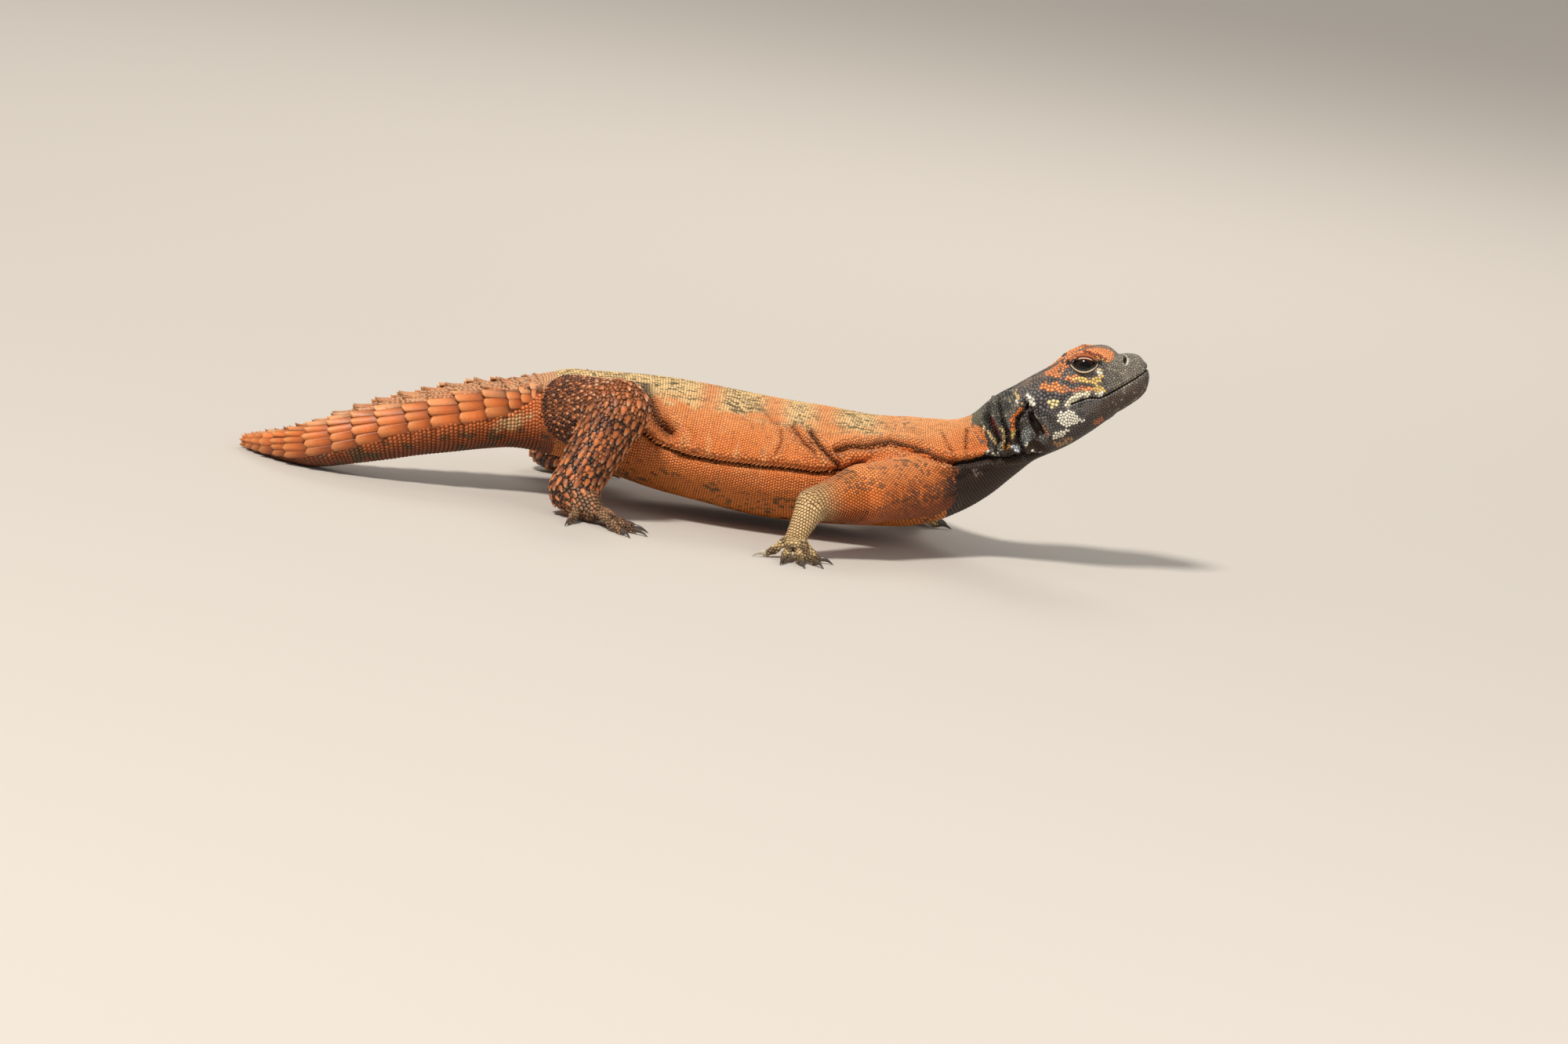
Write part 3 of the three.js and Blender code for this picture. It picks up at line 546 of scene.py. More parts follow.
def eye_measure(places):
    """Below 1 inside the opening between the lids, and 1 on its edge."""
    across, up = turned(places, OPENING)
    pointed = OPENING.size[1] * (1 - 0.3 * np.clip(np.abs(across) / OPENING.size[0], 0, 1) ** 2)
    return np.hypot(across / OPENING.size[0], up / pointed)


def nostril_measure(places):
    """Below 1 inside a nostril."""
    across, up = turned(places, NOSTRIL)
    return np.hypot(across / NOSTRIL.size[0], up / NOSTRIL.size[1])


def ear_measure(places):
    """Below 1 inside an ear, and 1 on its edge."""
    width = EAR_WIDTH * (0.5 + 0.5 * bell(places[:, 2], -1.5, 4.2))
    return np.abs(line_distance(places[:, [0, 2]], EAR_SLIT)) / width


def shape_lids(places):
    """Draws the skin out over each eyeball as lids, and in behind the opening between them."""
    for side in (-1, 1):
        offset = places - np.array([EYE.along, side * EYE.left, EYE.rise])
        distance = np.linalg.norm(offset, axis=1)
        outward = side * offset[:, 1] > -0.5
        lid = EYE.radius + EYE.lid - (EYE.lid - 0.1) * ramp(offset[:, 2], 2.2, 3.8)
        covered = (distance < lid) & outward
        places[covered] += (unit(offset) * (lid - distance)[:, None])[covered]
        rim = outward & (distance < lid + 2)
        places[rim, 1] += side * 0.3 * bell(eye_measure(places[rim]), 1.15, 0.12)
        hole = outward & (distance < lid + 3) & (eye_measure(places) < 1)
        places[hole, 1] = side * (EYE.left + EYE.radius * 0.3)
    return places


def shape_head(points, normals):
    """Brows, lids with an opening, nostrils, ears and the mouth's groove."""
    along, left, rise = to_head(points).T
    in_head = along > -12
    brow = 1.75 * bell(along, 21.2, 7.2) * bell(rise, 12.4, 2.4) * in_head
    brow *= ramp(np.abs(left), 3.5, 6) * (1 - ramp(np.abs(left), 9.8, 11.4))
    points = points + normals * brow[:, None]
    points = np.where(in_head[:, None], from_head(shape_lids(to_head(points))), points)
    places = to_head(points)
    along, left, rise = places.T
    side_view = places[:, [0, 2]]
    ear = ear_measure(places)
    mouth = line_distance(side_view, MOUTH_LINE)
    ledge = line_distance(side_view, BROW_EDGE) * (np.abs(left) > 5)
    pit = nostril_measure(places)
    sideways = ramp(np.abs(normals[:, 1]), 0.2, 0.5)
    move = -3.4 * (1 - ramp(ear, 0.55, 1.3)) + 0.8 * bell(ear, 1.9, 0.5)
    move += -1.8 * (1 - ramp(pit, 0.5, 1.15)) + 0.35 * bell(pit, 1.7, 0.4)
    move += 0.55 * bell(ledge, 0.95, 0.8) - 0.45 * bell(ledge, -0.15, 0.3)
    move += 0.5 * bell(along, 10, 5) * bell(rise, -4, 4)
    gape = -1.2 * bell(mouth, 0, 0.4) + 0.3 * bell(mouth, 1.4, 0.8) * (mouth > 0)
    total = (move * sideways + gape) * in_head
    return points + normals * total[:, None]


def near_features(middle):
    """Which places on the head need the finest skin."""
    places = to_head(middle)
    side_view = places[:, [0, 2]]
    ball = np.linalg.norm(np.abs(places) - [EYE.along, EYE.left + 3, EYE.rise], axis=1)
    near = np.abs(line_distance(side_view, MOUTH_LINE)) < 1.1
    near |= (ball < 6.2) & (np.abs(eye_measure(places) - 1.1) < 0.6)
    near |= nostril_measure(places) < 2.4
    return near & (places[:, 0] > 10)


def near_folds(middle):
    lines = [FLANK_FOLD] + [line for line, *_ in FOLDS]
    return np.min([np.abs(line_distance(middle[:, [0, 2]], line)) for line in lines], axis=0) < 2.3


def near_digits(middle):
    knuckles = np.array([leg["knuckles"] for leg in LEGS.values()])
    apart = np.linalg.norm(middle[:, None, :2] - knuckles[None, :, :2], axis=2).min(1)
    return (apart < 20) & (middle[:, 2] < 7)


def build_skin():
    """The skin's points, faces and normals."""
    grid = openvdb.FloatGrid(float(BAND * VOXEL))
    grid.copyFromArray(np.clip(whole_field(), -BAND * VOXEL, BAND * VOXEL))
    grid.transform = openvdb.createLinearTransform(voxelSize=VOXEL)
    points, faces = grid.convertToQuads(0.0)
    points, faces = points.astype(float) + ORIGIN, faces.astype(int)
    corners = points[faces[:, :3]]
    if np.einsum("ij,ij->", corners[:, 0], np.cross(corners[:, 1], corners[:, 2])) < 0:
        faces = faces[:, ::-1]
    points = relaxed(points, faces, 2)
    middle = points[faces].mean(1)
    fine = (to_head(middle)[:, 0] > -24) | near_folds(middle) | near_digits(middle)
    points, faces = refined(points, faces, fine)
    points = relaxed(points, faces, 1)
    points, faces = refined(points, faces, near_features(points[faces].mean(1)))
    normals = surface_normals(points, faces)
    points = points + normals * fold_relief(points, normals)[:, None]
    points = shape_head(points, surface_normals(points, faces))
    points[:, 2] = np.maximum(points[:, 2], LOWEST.skin)
    return SimpleNamespace(points=points, faces=faces, normals=surface_normals(points, faces))


skin = build_skin()
print("skin", len(skin.points), "points", len(skin.faces), "faces")
tree = BVHTree.FromPolygons(skin.points.tolist(), corner_lists(skin.faces))


def on_skin(points, farthest):
    """The nearest places on the skin with their normals, and which points lie near enough."""
    found = [tree.find_nearest(point, farthest) for point in points.tolist()]
    kept = np.array([hit[0] is not None for hit in found])
    hits = [hit for hit in found if hit[0] is not None]
    roots = np.array([hit[0][:] for hit in hits]).reshape(-1, 3)
    normals = skin.normals[skin.faces[[hit[2] for hit in hits]]].mean(1)
    return roots, unit(normals), kept


# Kinds of scale. Heights over the skin are shares of the scale's size: edge all round, top in the
# middle, and lift at the rear. reach draws the rear out to a point, peak sets the top back, and rim
# is how bright its edge is painted, which is painted shade.
def scale_kind(sides, flat_top, edge, top, lift=0, reach=0, peak=0, rim=0.76):
    return SimpleNamespace(sides=sides, flat_top=flat_top, edge=edge, top=top, lift=lift, reach=reach,
                           peak=peak, rim=rim)


KINDS = {
    "grain": scale_kind(6, False, 0.07, 0.22, 0.04, 0, 0.1),
    "row": scale_kind(6, False, 0.05, 0.2, 0.17, 0.14, 0.4, 0.66),
    "plate": scale_kind(8, True, 0.08, 0.2, rim=0.68),
    "bead": scale_kind(8, True, 0.12, 0.4, rim=0.55),
    "limb": scale_kind(8, True, 0.05, 0.2, 0.3, 0.42, 0.4, 0.5),
    "ring": scale_kind(8, True, 0.06, 0.22, 0.16, 0.16, 0.25, 0.5),
    "band": scale_kind(8, True, 0.03, 0.16, 0.42, 0.12, 0.5, 0.4),
}
GAP = len(KINDS)  # stands for a place that stays free of scales, such as the line of the mouth
KIND_NAMES = list(KINDS)
FILL = 0.965  # share of its room that a scale takes

PIECES = ["coat_head", "coat_neck", "coat_back_front", "coat_back_rear", "coat_belly_front",
          "coat_belly_rear", "coat_tail", "coat_right_foreleg", "coat_left_foreleg",
          "coat_right_hindleg", "coat_left_hindleg"]
RANKS = dict(gap=0, lids=1, lips=2, nostrils=3, axis=4, limb=5, digit=6)
LEG_PIECES = {name: PIECES.index(f"coat_{name}leg") for name in LEGS}
MIDDLE_X = -18  # where the trunk's coat is divided
NECK_X = 57
JITTER = 0.06  # how far scales stray from an even pattern, as a share of their size


def coat_rows(piece, rank, kind, points, lie, size, farthest=2.0, mark=0.0):
    """Scales with their roots on the skin. lie is the way that they point, mark a number kept for
    their colour, and rank which of two crowded scales stays."""
    roots, normals, kept = on_skin(points, farthest)
    n = len(roots)

    def of_kept(value, *shape):
        return np.broadcast_to(value, (len(points), *shape))[kept]

    return dict(
        root=roots, normal=normals, lie=of_kept(lie, 3), size=of_kept(size), mark=of_kept(mark),
        piece=np.full(n, PIECES.index(piece)), rank=np.full(n, RANKS[rank]),
        kind=np.full(n, GAP if kind is None else KIND_NAMES.index(kind)))


def joined_rows(parts):
    return SimpleNamespace(**{key: np.concatenate([part[key] for part in parts]) for key in parts[0]})


def chosen_rows(coat, keep):
    return SimpleNamespace(**{key: value[keep] for key, value in vars(coat).items()})


def finder_of(points):
    finder = KDTree(len(points))
    for i, point in enumerate(points.tolist()):
        finder.insert(point, i)
    finder.balance()
    return finder


def nearest(points, others):
    """Which of the others lies nearest to each point, and how far."""
    finder = finder_of(others)
    found = [finder.find(point) for point in points.tolist()]
    return np.array([hit[1] for hit in found]), np.array([hit[2] for hit in found])


def axis_pitch(x):
    """The distance between rings of scales along the neck and trunk."""
    return 0.84 + 0.1 * ramp(-x, -62, -50)


def axis_lattice():
    """Scales in rings round the neck and trunk."""
    rows, odd = [], 0
    t = place_of(from_head([[-1.5, 0, 0]]))[0]
    angles = np.linspace(-math.pi / 2, 1.5 * math.pi, 181)
    while t < STARTS[0]:
        s = sections(t)
        pitch = axis_pitch(s.centre[:, 0])[0]
        arc = arc_lengths(outline(sections(np.full(len(angles), t)), angles, -SKIN_DEPTH))
        count = 2 * round(arc[-1] / (pitch * 1.08) / 2)
        share = (np.arange(count) + 0.5 * odd) / count
        angle = np.interp(share * arc[-1], arc, angles)
        rows.append(np.stack([np.full(count, t), angle, np.full(count, pitch)], -1))
        t += pitch / s.speed[0]
        odd = 1 - odd
    t, angle, pitch = np.concatenate(rows).T
    s = sections(t)
    t = t + RANDOM.normal(0, JITTER, len(t)) * pitch / s.speed
    angle = angle + RANDOM.normal(0, JITTER, len(t)) * pitch / s.side
    s = sections(t)
    points = outline(s, angle, -SKIN_DEPTH)
    x = points[:, 0]
    below = np.sin(angle) < -0.02
    lie = unit(-s.forward - 0.5 * s.top * below[:, None])
    choices = [
        ("coat_neck", "grain", x > NECK_X),
        ("coat_back_front", "grain", (x <= NECK_X) & (x > MIDDLE_X) & ~below),
        ("coat_back_rear", "grain", (x <= MIDDLE_X) & ~below),
        ("coat_belly_front", "row", (x <= NECK_X) & (x > MIDDLE_X) & below),
        ("coat_belly_rear", "row", (x <= MIDDLE_X) & below),
    ]
    return [coat_rows(piece, "axis", kind, points[chosen], lie[chosen], pitch[chosen], 2.4)
            for piece, kind, chosen in choices]


def side_hits(places, side):
    """Where lines along the head's own left-right axis meet the skin at places (along, up)."""
    start = from_head(np.stack([places[:, 0], np.full(len(places), side * 24.0), places[:, 1]], -1))
    hits = [tree.ray_cast(Vector(point), Vector((0, -side, 0))) for point in start]
    return np.array([hit[0][:] for hit in hits if hit[0]]).reshape(-1, 3)


def along_line(line, spacing, offset=0.0):
    """Places along a line in a plane, at a spacing and shifted sideways."""
    line = np.array(line, float)
    lengths = arc_lengths(line)
    where = np.arange(0, lengths[-1], spacing)
    way = unit(along_path(where + 0.3, lengths, line) - along_path(where - 0.3, lengths, line))
    return along_path(where, lengths, line) + offset * np.stack([-way[:, 1], way[:, 0]], -1)


def ellipse(hole, spacing, grown=0.0, phase=0.0):
    """Places round a pointed ellipse in the head's side view."""
    a, b = hole.size[0] + grown, hole.size[1] + grown
    count = max(5, round(math.pi * (1.5 * (a + b) - math.sqrt(a * b)) / spacing))
    turn = turns(count, phase)
    across, up = a * np.cos(turn), b * np.sin(turn) * (1 - 0.3 * np.cos(turn) ** 2)
    c, sn = math.cos(hole.tilt), math.sin(hole.tilt)
    return np.stack([hole.along + across * c - up * sn, hole.rise + across * sn + up * c], -1)


def head_rows():
    """The rows of scales round the eyes, nostrils and mouth, and the places that stay free."""
    made = []

    def add(places, side, rank, kind, size, mark=0.0):
        made.append(coat_rows("coat_head", rank, kind, side_hits(places, side), -HEAD_AXES[0], size,
                              2.0, mark))

    for side in (-1, 1):
        for grown in (-0.25, -0.8):
            add(ellipse(OPENING, 0.4, grown), side, "gap", None, 0.4)
        for row, (grown, spacing) in enumerate(((0.45, 0.4), (1.3, 0.62), (1.95, 0.8))):
            lid = ellipse(OPENING, spacing, grown, 0.5 * (row % 2))
            add(lid, side, "lids", "plate", spacing, row + 1.0)
        for grown in (-0.4, -0.05):
            add(ellipse(NOSTRIL, 0.4, grown), side, "gap", None, 0.5)
        add(ellipse(NOSTRIL, 0.6, 0.42), side, "nostrils", "plate", 0.62)
        add(along_line(MOUTH_LINE, 0.45), side, "gap", None, 0.6)
        for offset in (0.7, -0.7):
            add(along_line(MOUTH_LINE, 1.0, offset), side, "lips", "plate", 1.0, offset)
        for offset in (-0.8, 0, 0.8):
            add(along_line(EAR_SLIT, 0.6, offset), side, "gap", None, 1.0)
        for offset, spacing in ((-2.1, 0.9), (2.2, 1.1)):
            add(along_line(EAR_SLIT, spacing, offset), side, "lids", "bead", spacing, 10 + offset)
    return made


def head_pitch(points):
    """The size of the head's scales: small on the snout and cheeks, larger at the temples."""
    along, left, rise = to_head(points).T
    pitch = 1.08 - 0.2 * ramp(along, 26, 32) - 0.27 * bell(along, 19, 8) * bell(rise, -6, 3.5)
    pitch += 0.5 * bell(along, 7, 6.5) * ramp(rise, 0.5, 3.5) * (1 - 0.6 * ramp(rise, 9, 12))
    return pitch + 0.25 * bell(along, 26, 8) * ramp(rise, 9, 11) * (1 - ramp(np.abs(left), 3, 6))


def path_lattice(balls, pitch, spacing):
    """Rings of points round a chain of balls, with the way along the chain and its share at each."""
    balls = np.array(balls, float)
    centres, radii = balls[:, :3], balls[:, 3]
    lengths = arc_lengths(centres)
    where = np.arange(0, lengths[-1] + radii[-1], pitch)
    inside = np.minimum(where, lengths[-1])
    beyond = where - inside
    window = 0.35 * radii.mean()
    middle, radius = along_path(inside, lengths, centres), np.interp(inside, lengths, radii)
    way = unit(along_path(inside + window, lengths, centres)
               - along_path(inside - window, lengths, centres))
    side = np.cross([0, 0, 1], way)
    side[np.linalg.norm(side, axis=1) < 0.2] = [0, 1, 0]
    side = flattened(side, way)
    other = np.cross(way, side)
    points, lies, shares = [], [], []
    for i in range(len(where)):
        ring = math.sqrt(max(radius[i] ** 2 - beyond[i] ** 2, 0))
        count = max(1, round(2 * math.pi * ring / spacing))
        turn = turns(count, 0.5 * (i % 2))[:, None]
        spoke = np.cos(turn) * side[i] + np.sin(turn) * other[i]
        points.append(middle[i] + way[i] * beyond[i] + ring * spoke)
        lies.append(np.broadcast_to(way[i], (count, 3)))
        shares.append(np.full(count, where[i] / lengths[-1]))
    return np.concatenate(points), np.concatenate(lies), np.concatenate(shares)


FOREARM = 0.56  # the share along a fore leg from which it carries rings of wider scales


def limb_lattice():
    """Scales on the legs, and rings of wider scales on the digits."""
    made = []
    for name, leg in LEGS.items():
        piece = f"coat_{name}leg"
        hind = name.endswith("hind")
        pitch = 1.35 if hind else 1.0
        points, lie, share = path_lattice(limb_chain(leg), pitch, pitch * 1.06)
        banded = (share > FOREARM) & (not hind)
        points = points + RANDOM.normal(0, 0.05 * pitch, points.shape) * ~banded[:, None]
        for kind, chosen in (("limb", ~banded), ("band", banded)):
            if chosen.any():
                made.append(coat_rows(piece, "limb", kind, points[chosen], lie[chosen], pitch, 2.2,
                                      share[chosen]))
        for i in range(5):
            points, lie, share = path_lattice(digit_chain(leg, i)[0], 1.0, 1.25)
            made.append(coat_rows(piece, "digit", "ring", points, lie, 1.1, 1.2, i + 0.99 * share))
    return made


def tail_lattice():
    """Small scales under the tail, where it carries no spines."""
    rows = []
    t, odd = STARTS[0], 0
    while t < LAST - 0.1:
        s = sections(t)
        pitch = 1.45 * min(1, 0.45 + s.side[0] / 26)
        low = plate_floor(t) + 3
        count = max(5, round(math.radians(180 + 2 * low) * s.side[0] / pitch))
        span = np.linspace(-180 - low, low, count) + odd * 62 / count
        rows.append(np.stack([np.full(count, t), np.radians(span), np.full(count, pitch)], -1))
        t += pitch / s.speed[0]
        odd = 1 - odd
    t, angle, pitch = np.concatenate(rows).T
    s = sections(t)
    return coat_rows("coat_tail", "axis", "row", outline(s, angle, -SKIN_DEPTH), -s.forward, pitch)


def spaced(coat, share=0.58):
    """Drops each scale that lies too near to one of an earlier rank or row."""
    finder = finder_of(coat.root)
    order = np.argsort(coat.rank, kind="stable")
    turn = np.empty(len(order), int)
    turn[order] = np.arange(len(order))
    gone = np.zeros(len(order), bool)
    for i in order.tolist():
        if gone[i]:
            continue
        for _, j, _ in finder.find_range(coat.root[i].tolist(), share * float(coat.size[i])):
            gone[j] |= turn[j] > turn[i] and coat.rank[j] > 0
    return chosen_rows(coat, ~gone)


def skin_samples(chosen, number):
    """Random places spread evenly over the chosen faces of the skin."""
    faces = skin.faces[chosen]
    a, b, c, d = (skin.points[faces[:, k]] for k in range(4))
    area = (np.linalg.norm(np.cross(c - a, d - b) + 1e-9, axis=1)
            + np.linalg.norm(np.cross(b - a, c - a), axis=1))
    pick = RANDOM.choice(len(faces), number, p=area / area.sum())
    u, v = RANDOM.random((2, number, 1))
    a, b, c, d = a[pick], b[pick], c[pick], d[pick]
    return a * (1 - u) * (1 - v) + b * u * (1 - v) + c * u * v + d * (1 - u) * v


def with_room(points, sizes, coat, share):
    """Which points have room for a scale of their size, beside the coat and one another."""
    own = finder_of(points)
    gone = nearest(points, coat.root)[1] < share * sizes
    for i, point in enumerate(points.tolist()):
        if gone[i]:
            continue
        for _, j, _ in own.find_range(point, share * float(sizes[i])):
            gone[j] |= j > i
    return ~gone


def scattered_head(coat):
    """Scales of uneven size over the rest of the head."""
    middle = skin.points[skin.faces].mean(1)
    points = skin_samples(to_head(middle)[:, 0] > -3, 60000)
    places = to_head(points)
    open_eye = (eye_measure(places) < 1.05) & (np.abs(places[:, 1]) > EYE.left)
    points = points[~open_eye & (nostril_measure(places) > 1)]
    sizes = head_pitch(points)
    chosen = with_room(points, sizes, coat, 0.74)
    rows = coat_rows("coat_head", "axis", "plate", points[chosen], -HEAD_AXES[0], sizes[chosen])
    rows["kind"][beaded(to_head(rows["root"]))] = KIND_NAMES.index("bead")
    return rows


def settled(coat, moving, rounds=6):
    """Evens out the distances between the moving scales and their neighbours."""
    movers = np.flatnonzero(moving)
    for _ in range(rounds):
        finder = finder_of(coat.root)
        near = np.array([[hit[1] for hit in finder.find_n(point, 8)[1:]]
                         for point in coat.root[movers].tolist()])
        offset = coat.root[movers][:, None] - coat.root[near]
        distance = np.linalg.norm(offset, axis=2)
        wanted = 0.52 * (coat.size[movers][:, None] + coat.size[near])
        push = np.clip(1 - distance / wanted, 0, None)[..., None] * unit(offset)
        moved = coat.root[movers] + 0.4 * coat.size[movers][:, None] * push.sum(1)
        roots, normals, kept = on_skin(moved, 3.0)
        coat.root[movers[kept]], coat.normal[movers[kept]] = roots, normals
    return coat


BARE = 0.82  # the distance from the next scale, in sizes, from which skin counts as bare
CREST = 34  # the angle from the tail's top up to which small scales lie between its thorns


def filled(coat):
    """Adds scales like their neighbours wherever the skin is bare."""
    points = skin_samples(np.full(len(skin.faces), True), 160000)
    points = points[points[:, 2] > 0.6]
    places = to_head(points)
    in_opening = ((eye_measure(places) < 1.1) & (np.abs(places[:, 1]) > EYE.left)
                  & (places[:, 0] > 15))
    t, girth = axis_places(points).T
    aside = np.abs(girth * 360 - 180)
    spined = (t > STARTS[0]) & (aside < 90 - plate_floor(t)) & (aside > CREST)
    points = points[~in_opening & ~spined & (t < LAST - 0.05)]
    like, distance = nearest(points, coat.root)
    bare = (distance > BARE * coat.size[like]) & (coat.kind[like] != GAP)
    points, like = points[bare], like[bare]
    chosen = with_room(points, coat.size[like], coat, BARE)
    roots, normals, kept = on_skin(points[chosen], 1.0)
    added = chosen_rows(coat, like[chosen][kept])
    added.root, added.normal = roots, normals
    return joined_rows([vars(coat), vars(added)])


def opened(points):
    """Which places lie in the ears, nostrils and mouth, and between the lids."""
    places = to_head(points)
    beside = np.abs(places[:, 1])
    ear = ear_measure(places) < 1.05
    eye = (eye_measure(places) < 1.04) & (beside > 6)
    nostril = nostril_measure(places) < 1.1
    mouth = np.abs(line_distance(places[:, [0, 2]], MOUTH_LINE)) < 0.3
    return ((ear | eye | nostril) & (beside > 3) | mouth) & (places[:, 0] > -4)


def build_scales():
    """All the scales but the spines, from the head to the toes."""
    coat = joined_rows([*head_rows(), *axis_lattice(), tail_lattice(), *limb_lattice()])
    coat = spaced(coat)
    coat = joined_rows([vars(coat), scattered_head(coat)])
    scattered = (coat.piece == 0) & (coat.rank == RANKS["axis"])
    coat = filled(settled(coat, scattered))
    return chosen_rows(coat, (coat.kind == GAP) | ~opened(coat.root))


def scale_rooms(coat, sides):
    """How far each scale may reach towards each of its sides before it meets its neighbours, and its
    directions to the rear and across."""
    finder = finder_of(coat.root)
    near = np.array([[hit[1] for hit in finder.find_n(root, 10)] for root in coat.root.tolist()])
    back = flattened(coat.lie, coat.normal)
    across = np.cross(coat.normal, back)
    offset = coat.root[near[:, 1:]] - coat.root[:, None]
    distance = np.linalg.norm(offset, axis=2)
    heading = np.arctan2(np.einsum("nkj,nj->nk", offset, across),
                         np.einsum("nkj,nj->nk", offset, back))
    facing = np.cos(turns(sides)[None, :, None] - heading[:, None, :])
    room = np.where(facing > 0.15, 0.5 * distance[:, None, :] / np.maximum(facing, 0.15), np.inf)
    return np.minimum(room.min(2), 0.8 * coat.size[:, None]), back, across


def axis_places(points):
    """Places along and round the body, from 0 to 1, with the seam under the belly."""
    t = place_of(points)
    s = sections(t)
    offset = points - s.centre
    across = dot(offset, s.left) / s.side
    rise = dot(offset, s.top) / np.where(offset @ [0, 0, 1] > 0, s.up, s.down)
    girth = ((np.arctan2(rise, across) + math.pi / 2) / (2 * math.pi)) % 1
    return np.stack([t, girth], -1)


def chain_places(balls, points):
    """Places along and round a chain of balls, from 0 to 1."""
    centres = np.array([ball[:3] for ball in balls], float)
    best = np.full(len(points), np.inf)
    places = np.zeros((len(points), 2))
    for i, (a, b) in enumerate(zip(centres, centres[1:])):
        share, offset = from_segment(points, a, b)
        side = unit(np.cross([0, 0.2, 1], b - a))
        turn = np.arctan2(offset @ np.cross(unit(b - a), side), offset @ side)
        distance = np.linalg.norm(offset, axis=1)
        nearer = distance < best
        best = np.where(nearer, distance, best)
        here = np.stack([(i + share) / (len(centres) - 1), (turn / (2 * math.pi)) % 1], -1)
        places = np.where(nearer[:, None], here, places)
    return places


# How the unwrap of a leg's piece is shared out: the limb first, then a strip for each digit.
LIMB_STRIP = 0.62
DIGIT_STRIPS = SimpleNamespace(start=0.66, pitch=0.07, width=0.06)


def unwrapped(coat):
    """Each scale's place on its own piece's unwrap, from 0 to 1."""
    places = axis_places(coat.root)
    for i in range(len(PIECES)):
        mine = coat.piece == i
        span = places[mine, 0]
        places[mine, 0] = (span - span.min()) / np.ptp(span)
    for name, leg in LEGS.items():
        mine = coat.piece == LEG_PIECES[name]
        upper = mine & (coat.rank != RANKS["digit"])
        places[upper] = chain_places(limb_chain(leg), coat.root[upper]) * [LIMB_STRIP, 1]
        for i in range(5):
            digit = mine & (coat.rank == RANKS["digit"]) & (np.floor(coat.mark) == i)
            own = chain_places(digit_chain(leg, i)[0], coat.root[digit])
            start = DIGIT_STRIPS.start + DIGIT_STRIPS.pitch * i
            places[digit] = own * [DIGIT_STRIPS.width, 1] + [start, 0]
    return places


def rgb(code):
    """A colour in the renderer's linear numbers from its usual code."""
    parts = np.array([int(code[i:i + 2], 16) for i in (0, 2, 4)]) / 255
    return np.where(parts <= 0.04045, parts / 12.92, ((parts + 0.055) / 1.055) ** 2.4)


ORANGE, DEEP, PALE = rgb("ee8136"), rgb("b9591c"), rgb("f6a867")
CREAM, YELLOW, SAND, WHITE = rgb("ecc98c"), rgb("e3bc70"), rgb("d6a87c"), rgb("f3ead6")
SLATE, BLACK, OLIVE, BROWN = rgb("67605b"), rgb("1e1915"), rgb("4f4527"), rgb("4a2a18")
GREY, TAN, BROW, RED = rgb("857468"), rgb("a27a55"), rgb("ec9459"), rgb("6e1d12")
UMBER, SNOUT, JAW = rgb("35241a"), rgb("83796b"), rgb("5b493c")
IVORY, STRAW = rgb("ebe0c0"), rgb("d9b27c")


def mixed(colour, other, share):
    share = np.clip(share, 0, 1)[:, None]
    return colour * (1 - share) + other * share


def layered(points, base, layers):
    """A base colour with other colours, or their codes, laid over it in turn by their shares."""
    colour = np.broadcast_to(base, points.shape)
    for other, share in layers:
        colour = mixed(colour, rgb(other) if isinstance(other, str) else other, share)
    return colour


def patch(places, middle, size, tilt=0.0, ragged=0.0):
    """From 0 outside to 1 inside an ellipse in a plane."""
    dx, dz = places[:, 0] - middle[0], places[:, 1] - middle[1]
    across = dx * math.cos(tilt) + dz * math.sin(tilt)
    up = dz * math.cos(tilt) - dx * math.sin(tilt)
    return 1 - ramp(np.hypot(across / size[0], up / size[1]) + ragged, 0.85, 1.1)


def stroke(places, line, width, ragged=0.0):
    """From 0 outside to 1 inside a band of the given half-width along a line in a plane."""
    return 1 - ramp(np.abs(line_distance(places, line)) / width + ragged, 0.8, 1.15)


def band_layers(bands, places, ragged, side, picked):
    """Layers for bands of coloured scales. picked is each scale's own number from 0 to 1."""
    return [(colour, stroke(places, line, width, ragged) * side * (picked < share))
            for line, width, colour, share in bands]


def own_numbers(points, seed):
    """A repeatable random number from 0 to 1 for each scale."""
    return hashed(np.round(points * 5).astype(np.int64), seed)


def uneven(points, size, seed, depth, span):
    """Fine noise that is denser in some places than in others."""
    return noise(points, size, seed) + depth * (noise(*span) - 0.5)


